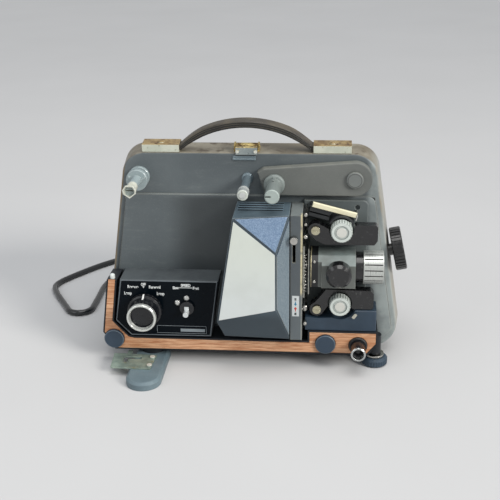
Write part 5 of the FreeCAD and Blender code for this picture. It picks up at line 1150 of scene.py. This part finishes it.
def make_pin(x, height, back, front, radius):
    """A pin with a domed head that stands ahead from its base."""
    clear_choice()
    bpy.ops.mesh.primitive_cylinder_add(vertices=20, radius=radius * MM, depth=(front - back) * MM)
    o = bpy.context.object
    for v in o.data.vertices:
        v.co.z += (front - back) * MM / 2
    bpy.ops.object.mode_set(mode="EDIT")
    bpy.ops.mesh.select_mode(type="FACE")
    bpy.ops.mesh.select_all(action="DESELECT")
    bpy.ops.object.mode_set(mode="OBJECT")
    for face in o.data.polygons:
        face.select = face.normal.z > 0.9
    bpy.ops.object.mode_set(mode="EDIT")
    bpy.ops.transform.resize(value=(1.45, 1.45, 1), center_override=(0, 0, (front - back) * MM))
    bpy.ops.mesh.extrude_region_move(TRANSFORM_OT_translate={"value": (0, 0, 0.7 * MM)})
    bpy.ops.mesh.inset(thickness=0.3 * radius * MM)
    bpy.ops.transform.translate(value=(0, 0, 0.35 * MM))
    bpy.ops.object.mode_set(mode="OBJECT")
    on_front(o, x, height, back)
    return o


def make_gate_springs():
    """Chrome pins and a coil spring in the film gap beside the gate cover."""
    gap, back = 50.6, 4.9
    pins = [make_pin(gap, h, back, front, r) for h, front, r in
            ((147.5, 31, 1.1), (138.5, 30, 0.9), (128, 32, 1.2), (62.5, 33, 1.2), (45.5, 31, 1.1))]
    turns, steps, radius, low, length, ahead = 11, 12, 1.15, 79, 34, 35.6
    points = []
    for k in range(turns * steps + 1):
        angle = 2 * math.pi * k / steps
        points.append(spot(gap + radius * math.cos(angle), low + length * k / (turns * steps),
                           ahead + radius * math.sin(angle)))
    curve = bpy.data.curves.new("spring", "CURVE")
    curve.dimensions = "3D"
    curve.bevel_depth = 0.0003
    curve.bevel_resolution = 2
    curve.use_fill_caps = True
    line = curve.splines.new("POLY")
    line.points.add(len(points) - 1)
    for point, place in zip(line.points, points):
        point.co = (*place, 1)
    spring = bpy.data.objects.new("spring", curve)
    bpy.context.collection.objects.link(spring)
    clear_choice()
    spring.select_set(True)
    bpy.context.view_layer.objects.active = spring
    bpy.ops.object.convert(target="MESH")
    settle(joined(pins + [bpy.context.object]), "gate_springs", "chrome", "projector")


def make_small_screws():
    """Two small heads on the front of the lens holder."""
    heads = []
    for x, h, back, radius in ((58.4, 86.2, 30.6, 1.0), (58.4, 104.5, 30.0, 0.9)):
        heads.append(make_pin(x, h, back - 0.5, back, radius))
    settle(joined(heads), "holder_screws", "chrome", "projector")


make_case_bead()
make_strap()
make_lettering()
make_blank_label()
make_format_label()
make_gate_springs()
make_small_screws()


# Stage and light
def make_floor():
    clear_choice()
    bpy.ops.mesh.primitive_plane_add(size=8, location=(0, 0, 0))
    floor = bpy.context.object
    floor.name = "floor"
    s = Surface("floor", 0.9)
    s.fixed("Specular IOR Level", 0)
    s.colour(s.cloud(3, 3, (196, 195, 194), (204, 203, 202)))
    floor.data.materials.append(s.material)


def make_world():
    """Soft sky, brighter overhead, with a plain pale background for the camera."""
    world = bpy.data.worlds.new("world")
    bpy.context.scene.world = world
    world.use_nodes = True
    tree = world.node_tree
    out = tree.nodes["World Output"]
    glow = tree.nodes["Background"]
    where = tree.nodes.new("ShaderNodeTexCoord")
    parts = tree.nodes.new("ShaderNodeSeparateXYZ")
    tree.links.new(where.outputs["Generated"], parts.inputs[0])
    ramp = tree.nodes.new("ShaderNodeMapRange")
    for socket, value in (("From Min", -0.1), ("From Max", 0.9), ("To Min", 0.1), ("To Max", 0.7)):
        ramp.inputs[socket].default_value = value
    tree.links.new(parts.outputs["Z"], ramp.inputs["Value"])
    glow.inputs[0].default_value = (0.88, 0.93, 1, 1)
    tree.links.new(ramp.outputs[0], glow.inputs[1])
    plain = tree.nodes.new("ShaderNodeBackground")
    plain.inputs[0].default_value = (0.6, 0.6, 0.6, 1)
    path = tree.nodes.new("ShaderNodeLightPath")
    seen = path.outputs["Is Camera Ray"]
    for kind in ("Is Glossy Ray", "Is Transmission Ray"):
        either = tree.nodes.new("ShaderNodeMath")
        either.operation = "MAXIMUM"
        tree.links.new(seen, either.inputs[0])
        tree.links.new(path.outputs[kind], either.inputs[1])
        seen = either.outputs[0]
    both = tree.nodes.new("ShaderNodeMixShader")
    tree.links.new(seen, both.inputs[0])
    tree.links.new(glow.outputs[0], both.inputs[1])
    tree.links.new(plain.outputs[0], both.inputs[2])
    tree.links.new(both.outputs[0], out.inputs[0])


AIM = Vector((0, 0, 0.1))


def add_light(name, kind, place, power, colour):
    """A light that shines at the middle of the projector."""
    light = bpy.data.lights.new(name, kind)
    light.energy = power
    light.color = colour
    o = bpy.data.objects.new(name, light)
    bpy.context.collection.objects.link(o)
    o.location = place
    o.rotation_euler = (AIM - Vector(place)).to_track_quat("-Z", "Y").to_euler()
    return light


make_floor()
make_world()
add_light("overhead", "AREA", (0.2, -0.3, 1.45), 10, (1, 0.99, 0.97)).size = 1.0
add_light("left", "AREA", (-1.1, -0.9, 0.9), 3, (0.93, 0.97, 1)).size = 0.9
add_light("right", "SUN", (1.98, -1.3, 1.22), 2.4, (1, 0.98, 0.94)).angle = math.radians(19.5)

bpy.context.scene.view_settings.view_transform = "Standard"
